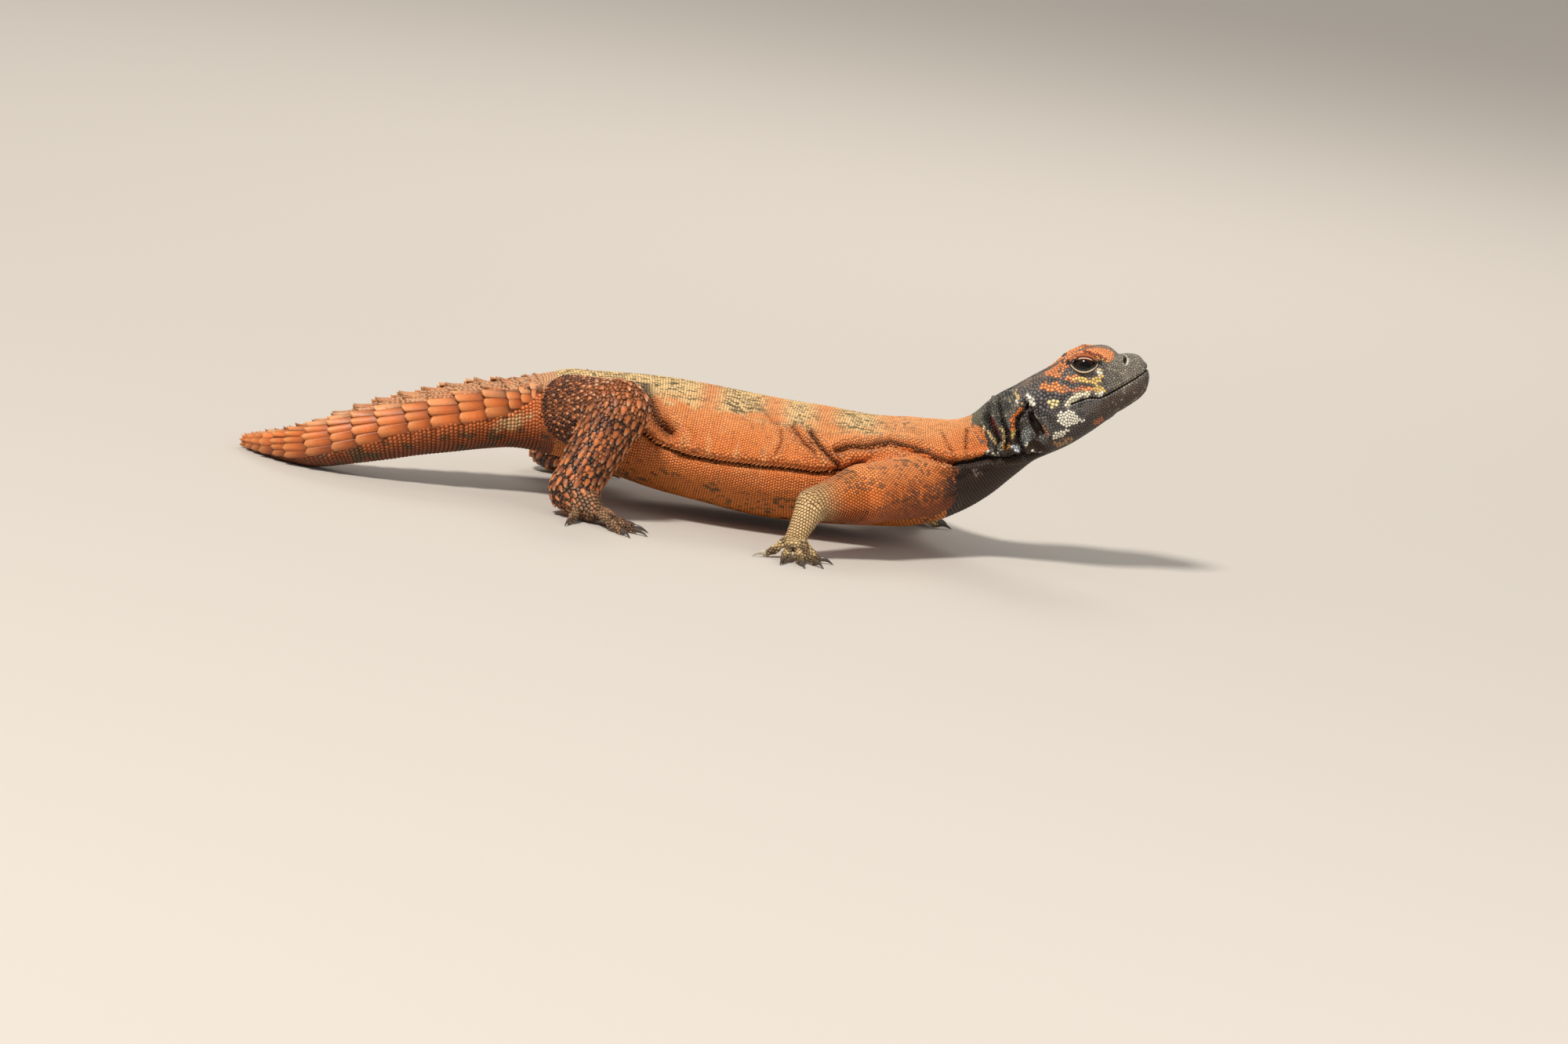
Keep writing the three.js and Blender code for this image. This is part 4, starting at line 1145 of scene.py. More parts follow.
def paint_trunk(points, rise):
    """Orange flanks with pale streaks of painted glints, a pale back with dark dashes and orange bars,
    and a browner belly.
    """
    x = points[:, 0]
    edge = rise + 0.22 * (noise(points, 4, 5) - 0.5)
    bars = bell(x, -31, 4.0) + bell(x, -9, 4.5) + bell(x, 9, 5) + 0.9 * ramp(x, 22, 32)
    pale = ramp(edge, 0.72, 0.88) * (1 - np.clip(bars, 0, 1) * 0.85)
    fine = uneven(points * [0.45, 1, 1], 0.75, 8, 0.15, (points, 5, 9))
    dashes = ramp(fine, 0.6, 0.68) * ramp(edge, 0.5, 0.8)
    # Painted highlight: pale vertical streaks standing for glints of light on the ribbed flank.
    streaks = ramp(noise(points * [1, 0.25, 0.22], 1.3, 14), 0.55, 0.75) * bell(rise, 0.25, 0.4)
    speckle = ramp(uneven(points, 1.1, 12, 0.5, (points, 9, 13)), 0.74, 0.8) * ramp(rise, 0.05, 0.3)
    shoulder = 0.45 + 0.55 * ramp(x, 20, 45)
    spots = ramp(uneven(points * [0.5, 1, 1], 1.0, 17, 0.5, (points, 7, 18)), 0.66, 0.74)
    return layered(points, ORANGE, [
        (DEEP, 0.3 * noise(points, 5, 3)),
        (PALE, (0.15 + 0.6 * ramp(rise, 0.2, 0.8)) * (0.55 + 0.45 * noise(points, 7, 4))),
        (CREAM, pale * 0.9),
        (OLIVE, dashes * (0.12 + 0.75 * pale) * (1 - 0.35 * ramp(x, 22, 40))),
        # painted glints
        (PALE, 0.6 * streaks * (1 - ramp(x, 8, 22))),
        ("7c6455", speckle * shoulder * 0.85),
        ("d97c26", ramp(-rise, 0.1, 0.75) * 0.8),
        (OLIVE, spots * ramp(-rise, 0.2, 0.55) * 0.8),
    ])


# Bands and patches on the side of the neck: their line or middle as x and z, half-width or
# half-length and half-height with a tilt, colour, and the share of scales that carry it.
NECK_BANDS = [
    ([(71.9, 60.6), (74.6, 58.6)], 0.45, CREAM, 0.9),
    ([(72.4, 58.8), (75.2, 56.8)], 0.5, CREAM, 0.9),
    ([(72.9, 57.0), (75.6, 55.0)], 0.5, WHITE, 0.9),
    ([(74.8, 54.4), (72.4, 51.8), (72.6, 49.2), (73.0, 46.6)], 0.75, ORANGE, 1.0),
    ([(73.1, 46.6), (73.2, 45.6)], 0.8, YELLOW, 0.9),
    ([(62.9, 46.6), (65.7, 44.1), (68.0, 41.6)], 0.6, CREAM, 0.95),
    ([(65.4, 49.2), (66.6, 47.0), (67.8, 44.6)], 0.95, RED, 1.0),
    ([(69.2, 47.2), (70.6, 44.4), (70.2, 41.8)], 0.6, CREAM, 0.95),
    ([(65.8, 38.6), (68.4, 38.2), (69.8, 41.0)], 1.1, WHITE, 0.7),
    ([(71.2, 40.6), (72.4, 41.4)], 0.9, "d8963a", 1.0),
    ([(74.0, 41.6), (75.4, 41.0)], 1.2, "d5d9dc", 0.75),
    ([(77.0, 46.2), (78.6, 42.8), (80.6, 41.2), (85.0, 40.8)], 0.5, WHITE, 0.6),
    ([(61.8, 31.6), (63.6, 30.2)], 1.0, GREY, 0.8),
]
NECK_PATCH = ((78.6, 47.2), (2.3, 5.6), -0.5)


def paint_neck(points, rise):
    """Black and grey with cream, white and orange scales, over a black throat and chest."""
    side_view = points[:, [0, 2]]
    side = ramp(np.abs(points[:, 1] + 1), 4, 8)
    grey = ramp(rise, -0.25, 0.35) * (0.3 + 0.7 * ramp(noise(points, 2.6, 21), 0.3, 0.7))
    dots = ramp(noise(points * [1.6, 1, 0.7], 0.9, 22), 0.66, 0.74) * ramp(rise, 0.2, 0.6)
    streaks = 0.45 + 0.55 * ramp(noise(points * [0.4, 1, 1], 0.9, 24), 0.4, 0.6)
    ragged = 0.5 * (noise(points, 1.2, 23) - 0.5)
    return layered(points, BLACK, [
        ("6f6a60", grey * 0.8),
        ("a79c84", dots * 0.6),
        ("3a2414", ramp(-rise, -0.25, 0.25) * 0.9),
        ("929895", patch(side_view, *NECK_PATCH) * side * streaks),
        ("6d6a55", (1 - ramp(points[:, 0], 61, 62.6)) * ramp(rise, 0.5, 0.8)),
        *band_layers(NECK_BANDS, side_view, ragged, side, own_numbers(points, 26)),
    ])


# Bands on the side of the head along lines of places along and up: half-width, colour and the
# share of scales that carry it.
HEAD_BANDS = [
    ([(17.6, 13.3), (21, 14.2), (25.6, 13.7), (29, 11.0), (32.8, 7.4)], 1.75, BROW, 1.0),
    ([(18.0, 13.4), (19.4, 12.2), (20.2, 11.2)], 0.7, "4f4641", 0.9),
    ([(26.6, 11.6), (29.6, 8.6), (31.6, 6.2)], 0.5, "d9a35c", 1.0),
    ([(26.2, 12.6), (29.6, 9.4), (31.2, 7.4)], 0.4, "8a3d1c", 1.0),
    ([(13.5, 12.6), (18.4, 11.3)], 1.0, "d98652", 0.85),
    ([(11.4, 12.4), (14.2, 11.0), (15.8, 9.6), (18.9, 6.7)], 1.3, "de8a55", 0.85),
    ([(8.6, 8.9), (11, 8.1), (13.6, 5.9)], 1.4, "dd8b50", 0.85),
    ([(14.6, 5.2), (17, 3.6), (19.6, 2.4)], 0.8, "b8795a", 0.6),
    ([(19.2, 6.3), (21.5, 4.5), (24.7, 2.3), (26.3, 2.3), (27.7, 3.0), (27.4, 4.8)], 0.85, YELLOW, 1.0),
    ([(27.5, 3.9), (27.2, 5.2)], 0.75, WHITE, 0.9),
    ([(19.8, 2.5), (22.8, 0.1)], 0.65, BROW, 1.0),
    ([(23.8, 0.2), (25.4, -1.8)], 1.0, YELLOW, 1.0),
    ([(24.9, -2.2), (24.3, -2.9)], 0.8, WHITE, 1.0),
    ([(12.8, 0.3), (15, 1.3), (17.6, 1.0), (20.4, 0.0)], 1.1, IVORY, 1.0),
    ([(22.6, -1.4), (23.2, -1.8)], 0.5, IVORY, 1.0),
    ([(1.9, 8.8), (2.6, 7.4), (1.9, 5.6)], 0.85, WHITE, 0.85),
    ([(1.3, 2.2), (1.5, 0.0)], 0.6, WHITE, 1.0),
    ([(2.0, -1.8), (2.2, -5.4)], 0.6, "9a6c54", 1.0),
    ([(20.2, -10.4), (18.4, -10.7)], 1.1, "a5623d", 1.0),
    ([(3.4, -10.6), (7.4, -11.7)], 1.5, TAN, 0.85),
]

# Round patches on the side of the head: middle, half-sizes, tilt, colour and share.
HEAD_PATCHES = [
    ((9.0, 2.9), (1.9, 1.9), 0.0, "e4d49a", 1.0),
    ((10.6, -4.0), (3.8, 2.7), -0.68, WHITE, 1.0),
    ((14.0, -7.4), (1.4, 1.1), 0.0, WHITE, 0.8),
    ((5.8, -7.6), (3.2, 1.2), -0.1, WHITE, 1.0),
]


def beaded(places):
    """Which places on the head carry domed white and yellow scales."""
    inside = [patch(places[:, [0, 2]], *oval) for *oval, _, _ in HEAD_PATCHES]
    return (np.max(inside, axis=0) > 0.5) & (np.abs(places[:, 1]) > 4)


def paint_head(coat):
    """Dark grey with an orange brow, and orange, yellow and white patches on the cheeks."""
    points = coat.root
    places = to_head(points)
    along, left, rise = places.T
    side_view, beside = places[:, [0, 2]], np.abs(left)
    side = ramp(beside, 2.0, 4.5)
    ragged = 0.35 * (noise(points, 1.4, 33) - 0.5)
    picked = own_numbers(points, 36)
    jaw = ramp(-rise, 4.2, 6.0) * ramp(along, 14, 24)
    crown = ramp(rise, 10.5, 12) * (1 - ramp(along, 14, 20))
    middle = bell(left, 0, 3.5) * bell(along, 25, 7) * ramp(rise, 8, 10)
    ovals = [(colour, (patch(side_view, *oval, 0.4 * ragged) > 0.5) * side * (picked < share))
             for *oval, colour, share in HEAD_PATCHES]
    colour = layered(points, SLATE, [
        (SNOUT, ramp(along, 25, 33) * 0.9),
        ("4a4148", 0.7 * bell(along, 7, 6) * bell(rise, 3, 5)),
        (BLACK, 0.55 * ramp(noise(points, 1.6, 31), 0.45, 0.7) * (1 - ramp(along, 24, 34) * 0.4)),
        (JAW, jaw * 0.85),
        (UMBER, 0.8 * ramp(-rise, 6, 11) * (1 - 0.4 * jaw)),
        ("aba28c", 0.55 * ramp(noise(points, 0.9, 32), 0.68, 0.76) * ramp(along, 20, 30)),
        ("8a6f5e", 0.7 * crown * ramp(noise(points, 2, 38), 0.35, 0.6)),
        (BROW, ramp(rise, 11, 12) * bell(along, 24.5, 7) * ramp(beside, 1.5, 4)),
        *band_layers(HEAD_BANDS, side_view, ragged, side, picked),
        *ovals,
        ("a8643c", 0.7 * middle * ramp(noise(points, 1.5, 39), 0.4, 0.6)),
    ])
    nose = coat.rank == RANKS["nostrils"]
    pale = 0.25 + 0.75 * ramp(along, NOSTRIL.along - 0.5, NOSTRIL.along + 0.3)
    colour[nose] = mixed(colour, rgb("cfc6b4"), pale)[nose]
    lids = (coat.rank == RANKS["lids"]) & (coat.mark < 9)
    up = turned(places, OPENING)[1]
    colour[lids & (coat.mark < 3)] = BLACK
    colour[lids & (coat.mark == 2) & (up > 0)] = rgb("b4602f")
    colour[lids & (coat.mark > 1) & (np.abs(up) < 0.8)] = BLACK
    return colour


def paint_hind_leg(points, share, up):
    """Dark brown with rusty patches, the one at the knee brighter on scales that face up as painted
    light. share is the share along the leg, and up how a scale faces.
    """
    return layered(points, BROWN, [
        ("8e4d28", 0.6 * (1 - ramp(share, 0.2, 0.42))),
        (BLACK, 0.6 * ramp(noise(points, 1.8, 41), 0.4, 0.6)),
        ("c2713c", 0.65 * ramp(noise(points, 1.5, 43), 0.55, 0.7)),
        # A rusty patch at the knee, weighted towards scales that face up as painted light.
        ("c9753e", 0.5 * bell(share, 0.44, 0.12) * ramp(up, -0.2, 0.6)),
        (TAN, ramp(share, 0.84, 0.97) * 0.4),
    ])


def paint_fore_leg(points, share, up):
    """Orange with grey speckles, black towards the chest and straw-coloured on the forearm, with
    painted light on scales that face up and painted shade on those that face down.
    """
    x, _, z = points.T
    speckle = ramp(uneven(points, 0.9, 45, 0.35, (points, 6, 46)), 0.64, 0.76)
    edge = ramp(x, 46, 57) * ramp(noise(points * [1.6, 1, 0.6], 0.9, 48), 0.35, 0.6)
    front = ramp(x, 28, 44) * ramp(-up, -0.75, 0.1)
    return layered(points, ORANGE, [
        # Painted light on scales that face up.
        (PALE, 0.55 * ramp(up, 0.2, 0.9)),
        ("6e5140", speckle * 0.7),
        (BLACK, 0.9 * (1 - ramp(share, 0.02, 0.13)) * ramp(-z, -36, -24)),
        (BLACK, np.maximum(0.85 * edge, 0.8 * ramp(x, 54.5, 57))),
        ("6b3a24", 0.75 * front * ramp(noise(points, 1.3, 47), 0.3, 0.65)),
        # Painted shade on scales that face down.
        ("a5511f", 0.75 * ramp(-up, 0.0, 0.6)),
        (STRAW, ramp(share, 0.66, 0.84)),
    ])


def paint_tail(points, rise):
    """Orange sides, a sandy top, and an orange-brown underside with dark spots."""
    spots = ramp(noise(points * [0.7, 1, 1], 2.2, 51), 0.6, 0.68) * ramp(-rise, 0.1, 0.4)
    ragged = 0.5 * (noise(points, 2, 52) - 0.5)
    cream = patch(points[:, [0, 2]], (-96.5, 26.5), (7.5, 3.4), 0.5, ragged)
    cream = cream * (1 - ramp(rise, 0.05, 0.3))
    return layered(points, rgb("dc7436"), [
        (SAND, ramp(rise, 0.55, 0.95) * 0.8),
        ("a0501c", ramp(-rise, -0.1, 0.35) * 0.7),
        ("6e3312", ramp(-rise, 0.3, 0.8) * 0.8),
        (OLIVE, spots * 0.75),
        (STRAW, cream * 0.75 * (1 - 0.7 * ramp(noise(points, 1.4, 53), 0.6, 0.7))),
    ])


def fold_shade_depth(points):
    """From 0 to 1 how deep places lie in the folds of the skin, which sets how much painted shade they
    get.
    """
    side_view = points[:, [0, 2]]
    deep = bell(line_distance(side_view, FLANK_FOLD), -0.5, 1.0)
    for line, depth, width, _ in FOLDS:
        away = np.abs(line_distance(side_view, line))
        deep = np.maximum(deep, min(1, depth / 2.6) * bell(away, 0, 1.05 * width))
    aside = from_middle(points)
    return deep * ramp(aside, 6, 10) * (aside < FLANKS.reach)


def rise_at(points, t):
    """How high points lie on their cross-section, from -1 below to 1 on top."""
    s = sections(t)
    up = dot(points - s.centre, s.top)
    return np.clip(np.where(up > 0, up / s.up, up / s.down), -1, 1)


# The edge between the orange body and the black neck and chest, as x and z from below.
NECK_EDGE = np.array([(54, 10), (56, 26), (54.5, 33.4), (60.7, 34.9), (65.2, 38.1), (65.1, 41.4),
                      (63.8, 44.2), (62.7, 45.9), (59, 46.7), (58.7, 48.1), (58.6, 60)])


def paint(coat):
    """The colour of each scale by its place on the animal, with painted shade in the folds of the skin.
    """
    root = coat.root
    colour = np.zeros((len(root), 3))
    legs = np.isin(coat.piece, list(LEG_PIECES.values()))
    t = place_of(root)
    rise = rise_at(root, t)
    head = coat.piece == PIECES.index("coat_head")
    tail = ~legs & ~head & (t > STARTS[0] - 0.35)
    before_edge = root[:, 0] - np.interp(root[:, 2], NECK_EDGE[:, 1], NECK_EDGE[:, 0])
    neck = ~legs & ~head & (before_edge + 0.9 * (noise(root, 1.6, 61) - 0.5) > 0)
    trunk = ~legs & ~head & ~neck & ~tail
    colour[head] = paint_head(chosen_rows(coat, head))
    for chosen, painter in ((neck, paint_neck), (trunk, paint_trunk), (tail, paint_tail)):
        colour[chosen] = painter(root[chosen], rise[chosen])
    for name, piece in LEG_PIECES.items():
        painter, base = ((paint_hind_leg, TAN) if name.endswith("hind")
                         else (paint_fore_leg, rgb("d3b27c")))
        digits = (coat.piece == piece) & (coat.rank == RANKS["digit"])
        rest = (coat.piece == piece) & ~digits
        colour[rest] = painter(root[rest], coat.mark[rest], coat.normal[rest, 2])
        colour[digits] = layered(root[digits], base, [
            (BROWN, ramp(noise(root[digits], 2.2, 63), 0.35, 0.7) * 0.8)])
    # Painted shade: dark umber laid over the scales in the folds of the skin, but not on the legs.
    return mixed(colour, UMBER * 0.4, fold_shade_depth(root) * np.where(legs, 0, 0.82))


def to_scene(points):
    return (points + SHIFT) * MM


def new_object(name, data):
    piece = bpy.data.objects.new(name, data)
    bpy.context.scene.collection.objects.link(piece)
    return piece


def new_mesh(name, points, faces, colours):
    """A smooth mesh object from points, faces of one number of corners, and the points' colours."""
    mesh = bpy.data.meshes.new(name)
    mesh.vertices.add(len(points))
    mesh.vertices.foreach_set("co", to_scene(points).astype(np.float32).ravel())
    mesh.loops.add(faces.size)
    mesh.loops.foreach_set("vertex_index", faces.astype(np.int32).ravel())
    mesh.polygons.add(len(faces))
    starts = np.arange(0, faces.size, faces.shape[1]).astype(np.int32)
    mesh.polygons.foreach_set("loop_start", starts)
    mesh.polygons.foreach_set("use_smooth", np.full(len(faces), True))
    mesh.update(calc_edges=True)
    layer = mesh.color_attributes.new("markings", "FLOAT_COLOR", "POINT")
    opaque = np.hstack([colours, np.ones((len(colours), 1))])
    layer.data.foreach_set("color", opaque.astype(np.float32).ravel())
    return new_object(name, mesh)


def ring_faces(sides, rings, capped):
    """Triangles between rings of points, with the first ring closed, and the last one too or drawn
    to a point on top."""
    faces = []
    for i in range(rings - 1):
        for k in range(sides):
            j = (k + 1) % sides
            a, b, c, d = i * sides + k, i * sides + j, (i + 1) * sides + k, (i + 1) * sides + j
            faces += [(a, b, d), (a, d, c)]
    faces += [(0, k + 1, k) for k in range(1, sides - 1)]
    last = (rings - 1) * sides
    if capped:
        faces += [(last, last + k, last + k + 1) for k in range(1, sides - 1)]
    else:
        faces += [(last + k, last + (k + 1) % sides, rings * sides) for k in range(sides)]
    return np.array(faces)


SCALE_PATCH = 0.003  # the span of a scale's patch on the unwrap


def on_unwrap(places, flat):
    """Places of a shape's points on the unwrap, from the place of its root and their own spread."""
    return 0.01 + 0.98 * places[:, None] + flat


def scale_shapes(coat, room, back, across, colours, places, kind):
    """Points, tints, flat places and faces of closed scales that fill their rooms. The tints carry
    painted shade towards the root and edge and a painted highlight at the peak.
    """
    turn = turns(kind.sides)
    rear = np.clip(np.cos(turn), 0, 1)
    reach = room * FILL * (1 + kind.reach * rear ** 3)
    size = coat.size[:, None]
    lift = kind.lift * rear * size
    # Each level: its share of the reach, its height and its brightness, which is painted shade below 1.
    levels = [(0.92, -0.35 * size, 0.25), (1.0, kind.edge * size + lift, kind.rim)]
    if kind.flat_top:
        levels.append((0.62, kind.top * size + 0.8 * lift, 1.0))
    rearward = [reach * share * np.cos(turn) for share, _, _ in levels]
    sideward = [reach * share * np.sin(turn) for share, _, _ in levels]
    height = [np.broadcast_to(level, reach.shape) for _, level, _ in levels]
    shade = np.repeat([bright for _, _, bright in levels], kind.sides)
    rearward.append(kind.peak * room[:, :1])
    sideward.append(np.zeros_like(size))
    height.append((kind.top * 1.1 + 0.8 * kind.lift * kind.peak) * size)
    rearward, sideward, height = (np.concatenate(rows, 1) for rows in (rearward, sideward, height))
    points = (coat.root[:, None] + rearward[..., None] * back[:, None]
              + sideward[..., None] * across[:, None] + height[..., None] * coat.normal[:, None])
    # Painted shade and light: colours are scaled down at the root and edge rings and up to 1.08 at the
    # peak as a painted highlight.
    tints = colours[:, None] * np.append(shade, 1.08)[None, :, None]
    flat = np.stack([rearward, sideward], -1) / (2 * np.maximum(reach.max(1), 0.1))[:, None, None]
    faces = ring_faces(kind.sides, len(levels), False)
    return points, tints, on_unwrap(places, SCALE_PATCH * flat), faces


def coat_piece(name, blocks):
    """Joins blocks of like shapes, each with points, tints, flat places and faces, as one object."""
    points, tints, faces, flat = [], [], [], []
    start = 0
    for block_points, block_tints, block_places, block_faces in blocks:
        number, corners = block_points.shape[:2]
        offset = start + corners * np.arange(number)[:, None, None]
        points.append(block_points.reshape(-1, 3))
        tints.append(block_tints.reshape(-1, 3))
        faces.append((block_faces[None] + offset).reshape(-1, 3))
        flat.append(block_places.reshape(-1, 2))
        start += number * corners
    points, tints, faces, flat = map(np.concatenate, (points, tints, faces, flat))
    points[:, 2] = np.maximum(points[:, 2], LOWEST.scales)
    piece = new_mesh(name, points, faces, np.clip(tints, 0, 1))
    layer = piece.data.uv_layers.new(name="OFBake")
    layer.data.foreach_set("uv", flat[faces.ravel()].astype(np.float32).ravel())
    return piece


def coat_blocks(coat, colours, places):
    """The shapes of the scales of each piece, kind by kind."""
    blocks = {name: [] for name in PIECES}
    rooms = {sides: scale_rooms(coat, sides) for sides in {kind.sides for kind in KINDS.values()}}
    for index, kind in enumerate(KINDS.values()):
        for piece_index, name in enumerate(PIECES):
            mine = (coat.kind == index) & (coat.piece == piece_index)
            if mine.any():
                own = [part[mine] for part in (*rooms[kind.sides], colours, places)]
                blocks[name].append(scale_shapes(chosen_rows(coat, mine), *own, kind))
    return blocks


# Sections along a spine: share of its length, of its width and of its height. A profile gives
# places across it and up.
PLATE_SECTIONS = [(-0.12, 0.9, 0.0), (0.1, 1.0, 0.25), (0.5, 1.03, 0.6), (0.92, 1.0, 1.0),
                  (0.98, 0.8, 1.1), (1.04, 0.14, 1.2)]
THORN_SECTIONS = [(-0.1, 0.8, 0.0), (0.15, 1.0, 0.3), (0.4, 0.8, 0.55), (0.65, 0.52, 0.85),
                  (0.85, 0.28, 1.15), (1.0, 0.05, 1.45)]
KNOB_SECTIONS = [(-0.1, 0.6, 0.0), (0.12, 0.95, 0.5), (0.4, 1.0, 0.85), (0.68, 0.8, 1.0),
                 (0.88, 0.45, 0.95), (1.0, 0.1, 0.85)]
PLATE_PROFILE = [(-1, 0.2), (-0.66, 0.62), (0, 1.0), (0.66, 0.62), (1, 0.2), (0, -1.0)]
THORN_PROFILE = [(-1, 0.0), (-0.6, 0.62), (0, 1.0), (0.6, 0.62), (1, 0.0), (0, -1.0)]
SINK = SimpleNamespace(tail=1.2, knob=0.8, fringe=0.7)  # how deep the spines' roots lie in the skin


def spine_block(stations, profile, sink, root, back, across, out, length, width, height, colours,
                tips, place):
    """Closed spines that lie back along the skin with their roots sunk in it, with painted shade at
    their roots and undersides and painted light on their tops.
    """
    rows, shades, flat = [], [], []
    for where, wide, high in stations:
        tip = max(0.0, (where - 0.6) / 0.4)
        # Painted shade at the root of each spine, where the ring before it overhangs.
        shaded = 0.2 + 0.8 * float(ramp(where, -0.08, 0.3))
        for aside, up in profile:
            if up >= 0:
                level = high * height * (0.4 + 0.6 * up)
            else:
                level = high * height * 0.4 - sink * (1 - 0.85 * where)
            rows.append(root + back * (where * length)[:, None]
                        + across * (aside * wide * width / 2)[:, None] + out * level[:, None])
            # Painted light and shade: brighter towards the top of the profile, dark underneath.
            bright = 0.2 if up < 0 else 0.52 + 0.54 * up
            shades.append((colours * (1 - tip) + tips * tip) * bright * shaded)
            flat.append((SCALE_PATCH / 2 * where, 0.4 * SCALE_PATCH * aside))
    faces = ring_faces(len(profile), len(stations), True)
    places = on_unwrap(place, np.array(flat)[None])
    return np.stack(rows, 1), np.stack(shades, 1), places, faces[:, ::-1]


PLATE_TOP = 58  # the angle in degrees up to which the tail's spines are flat plates


def ring_angles(start):
    """The angles of one ring's spines on the tail in degrees, and the spans that they take."""
    side = sections(start).side[0]
    step = 19 if side > 8.5 else 28
    lateral = np.arange(plate_floor(start) + step / 2, PLATE_TOP + step / 2, step)
    count = max(2, round(side * 0.9 / 2.5))
    top = np.linspace(lateral[-1], 180 - lateral[-1], count + 2)[1:-1]
    spans = [np.full(len(lateral), step), np.full(count, (180 - 2 * lateral[-1]) / (count + 1))]
    return np.concatenate([lateral, top, 180 - lateral]), np.concatenate([*spans, spans[0]])


def tail_spines():
    """Rings of spines round the tail: large flat ones at its sides and thorns on top."""
    t, angle, spread, share = [], [], [], []
    for start, stop in zip(STARTS, STARTS[1:]):
        degrees, spans = ring_angles(start)
        n = len(degrees)
        angle.append(np.radians(degrees + RANDOM.normal(0, 1.0, n)))
        spread.append(np.radians(spans))
        t.append(np.full(n, start + 0.06 * (stop - start)))
        share.append(np.full(n, stop - start))
    t, angle, spread, share = map(np.concatenate, (t, angle, spread, share))
    s = sections(t)
    root = outline(s, angle, whorl_relief(t, angle) - SKIN_DEPTH)
    span = outline(sections(t + share), angle) - outline(s, angle)
    back = unit(span)
    across = unit(outline(s, angle + 0.05) - outline(s, angle - 0.05))
    out = unit(np.cross(back, across))
    out *= np.sign(dot(out, root - s.centre))[:, None]
    across = np.cross(out, back)
    n = len(t)
    rise = np.sin(angle)
    thorn = rise > math.sin(math.radians(PLATE_TOP + 5))
    length = np.linalg.norm(span, axis=1) * np.where(thorn, 0.95, 1.1) * RANDOM.uniform(0.96, 1.06, n)
    arc = outline(s, angle + spread / 2) - outline(s, angle - spread / 2)
    width = np.linalg.norm(arc, axis=1) * np.where(thorn, 0.8, 1.0) * RANDOM.uniform(0.93, 1.05, n)
    size = 0.3 + 0.7 * np.clip(length / 8, 0, 1)
    height = size * np.where(thorn, 1.5, 2.0) * RANDOM.uniform(0.85, 1.25, n)
    colours = paint_tail(root, rise)
    colours = mixed(colours, DEEP, RANDOM.uniform(0, 0.75, n)) * RANDOM.uniform(0.8, 1.05, (n, 1))
    # The thorns' tips are tan; the plates' paler rear tips are a painted highlight on their raised rear
    # edges.
    tips = np.where(thorn[:, None], mixed(colours, TAN, np.full(n, 0.6)),
                    mixed(colours, PALE, np.full(n, 0.5)))
    place = np.stack([(t - t.min()) / np.ptp(t), ((angle + math.pi / 2) / (2 * math.pi)) % 1], -1)
    parts = (root, back, across, out, length, width, height, colours, tips, place)
    return [spine_block(stations, profile, SINK.tail, *(part[mine] for part in parts))
            for stations, profile, mine in ((PLATE_SECTIONS, PLATE_PROFILE, ~thorn),
                                            (THORN_SECTIONS, THORN_PROFILE, thorn))]


def raised_scales(name, coat, places):
    """Large pointed scales among the small ones of a hind leg."""
    mine = (coat.piece == PIECES.index(name)) & (coat.rank == RANKS["limb"])
    chosen = np.flatnonzero(mine & (coat.mark > 0.1) & (coat.mark < 0.93))
    RANDOM.shuffle(chosen)
    kept = []
    for i in chosen.tolist():
        if not kept or np.linalg.norm(coat.root[kept] - coat.root[i], axis=1).min() > 2.35:
            kept.append(i)
    rows = chosen_rows(coat, kept)
    back = flattened(rows.lie, rows.normal)
    n = len(kept)
    tint = mixed(np.broadcast_to(rgb("d27538"), (n, 3)), rgb("6f3418"), RANDOM.uniform(0, 0.9, n))
    tips = mixed(tint, rgb("f6c79c"), RANDOM.uniform(0.25, 1.0, n))
    thigh = 1 - ramp(rows.mark, 0.2, 0.36)
    length = RANDOM.uniform(2.5, 3.9, n) * (1 - 0.3 * thigh)
    return spine_block(KNOB_SECTIONS, THORN_PROFILE, SINK.knob,
                       rows.root - back * (0.3 * length)[:, None], back, np.cross(rows.normal, back),
                       rows.normal, length, length * RANDOM.uniform(0.6, 0.78, n), length * 0.3,
                       tint, tips, places[kept])


def fringe_scales():
    """Small pointed scales along the lower edge of each flank's upper skin."""
    made = []
    for side in (-1, 1):
        for x, z in along_line(FLANK_FOLD[:-1], 1.45, 0.7):
            hit, _, face, _ = tree.ray_cast(Vector((x, side * 90, z)), Vector((0, -side, 0)))
            if hit is not None and abs(hit[1] - FLANKS.middle) < FLANKS.reach:
                made.append((hit[:], skin.normals[skin.faces[face]].mean(0)))
    root = np.array([row[0] for row in made])
    out = unit(np.array([row[1] for row in made]) * [1, 1, 0.3])
    back = flattened(np.broadcast_to([-0.8, 0, -0.6], root.shape), out)
    n = len(root)
    tint = mixed(np.broadcast_to(ORANGE, (n, 3)), PALE, RANDOM.uniform(0, 0.6, n))
    tips = mixed(tint, CREAM, np.full(n, 0.45))
    span = (root[:, 0] - root[:, 0].min()) / np.ptp(root[:, 0])
    place = np.stack([0.1 + 0.7 * span, np.where(root[:, 1] > 0, 0.24, 0.76)], -1)
    return spine_block(THORN_SECTIONS, THORN_PROFILE, SINK.fringe, root, back, np.cross(out, back),
                       out, RANDOM.uniform(1.8, 2.5, n), np.full(n, 1.4), np.full(n, 0.5), tint, tips,
                       place)


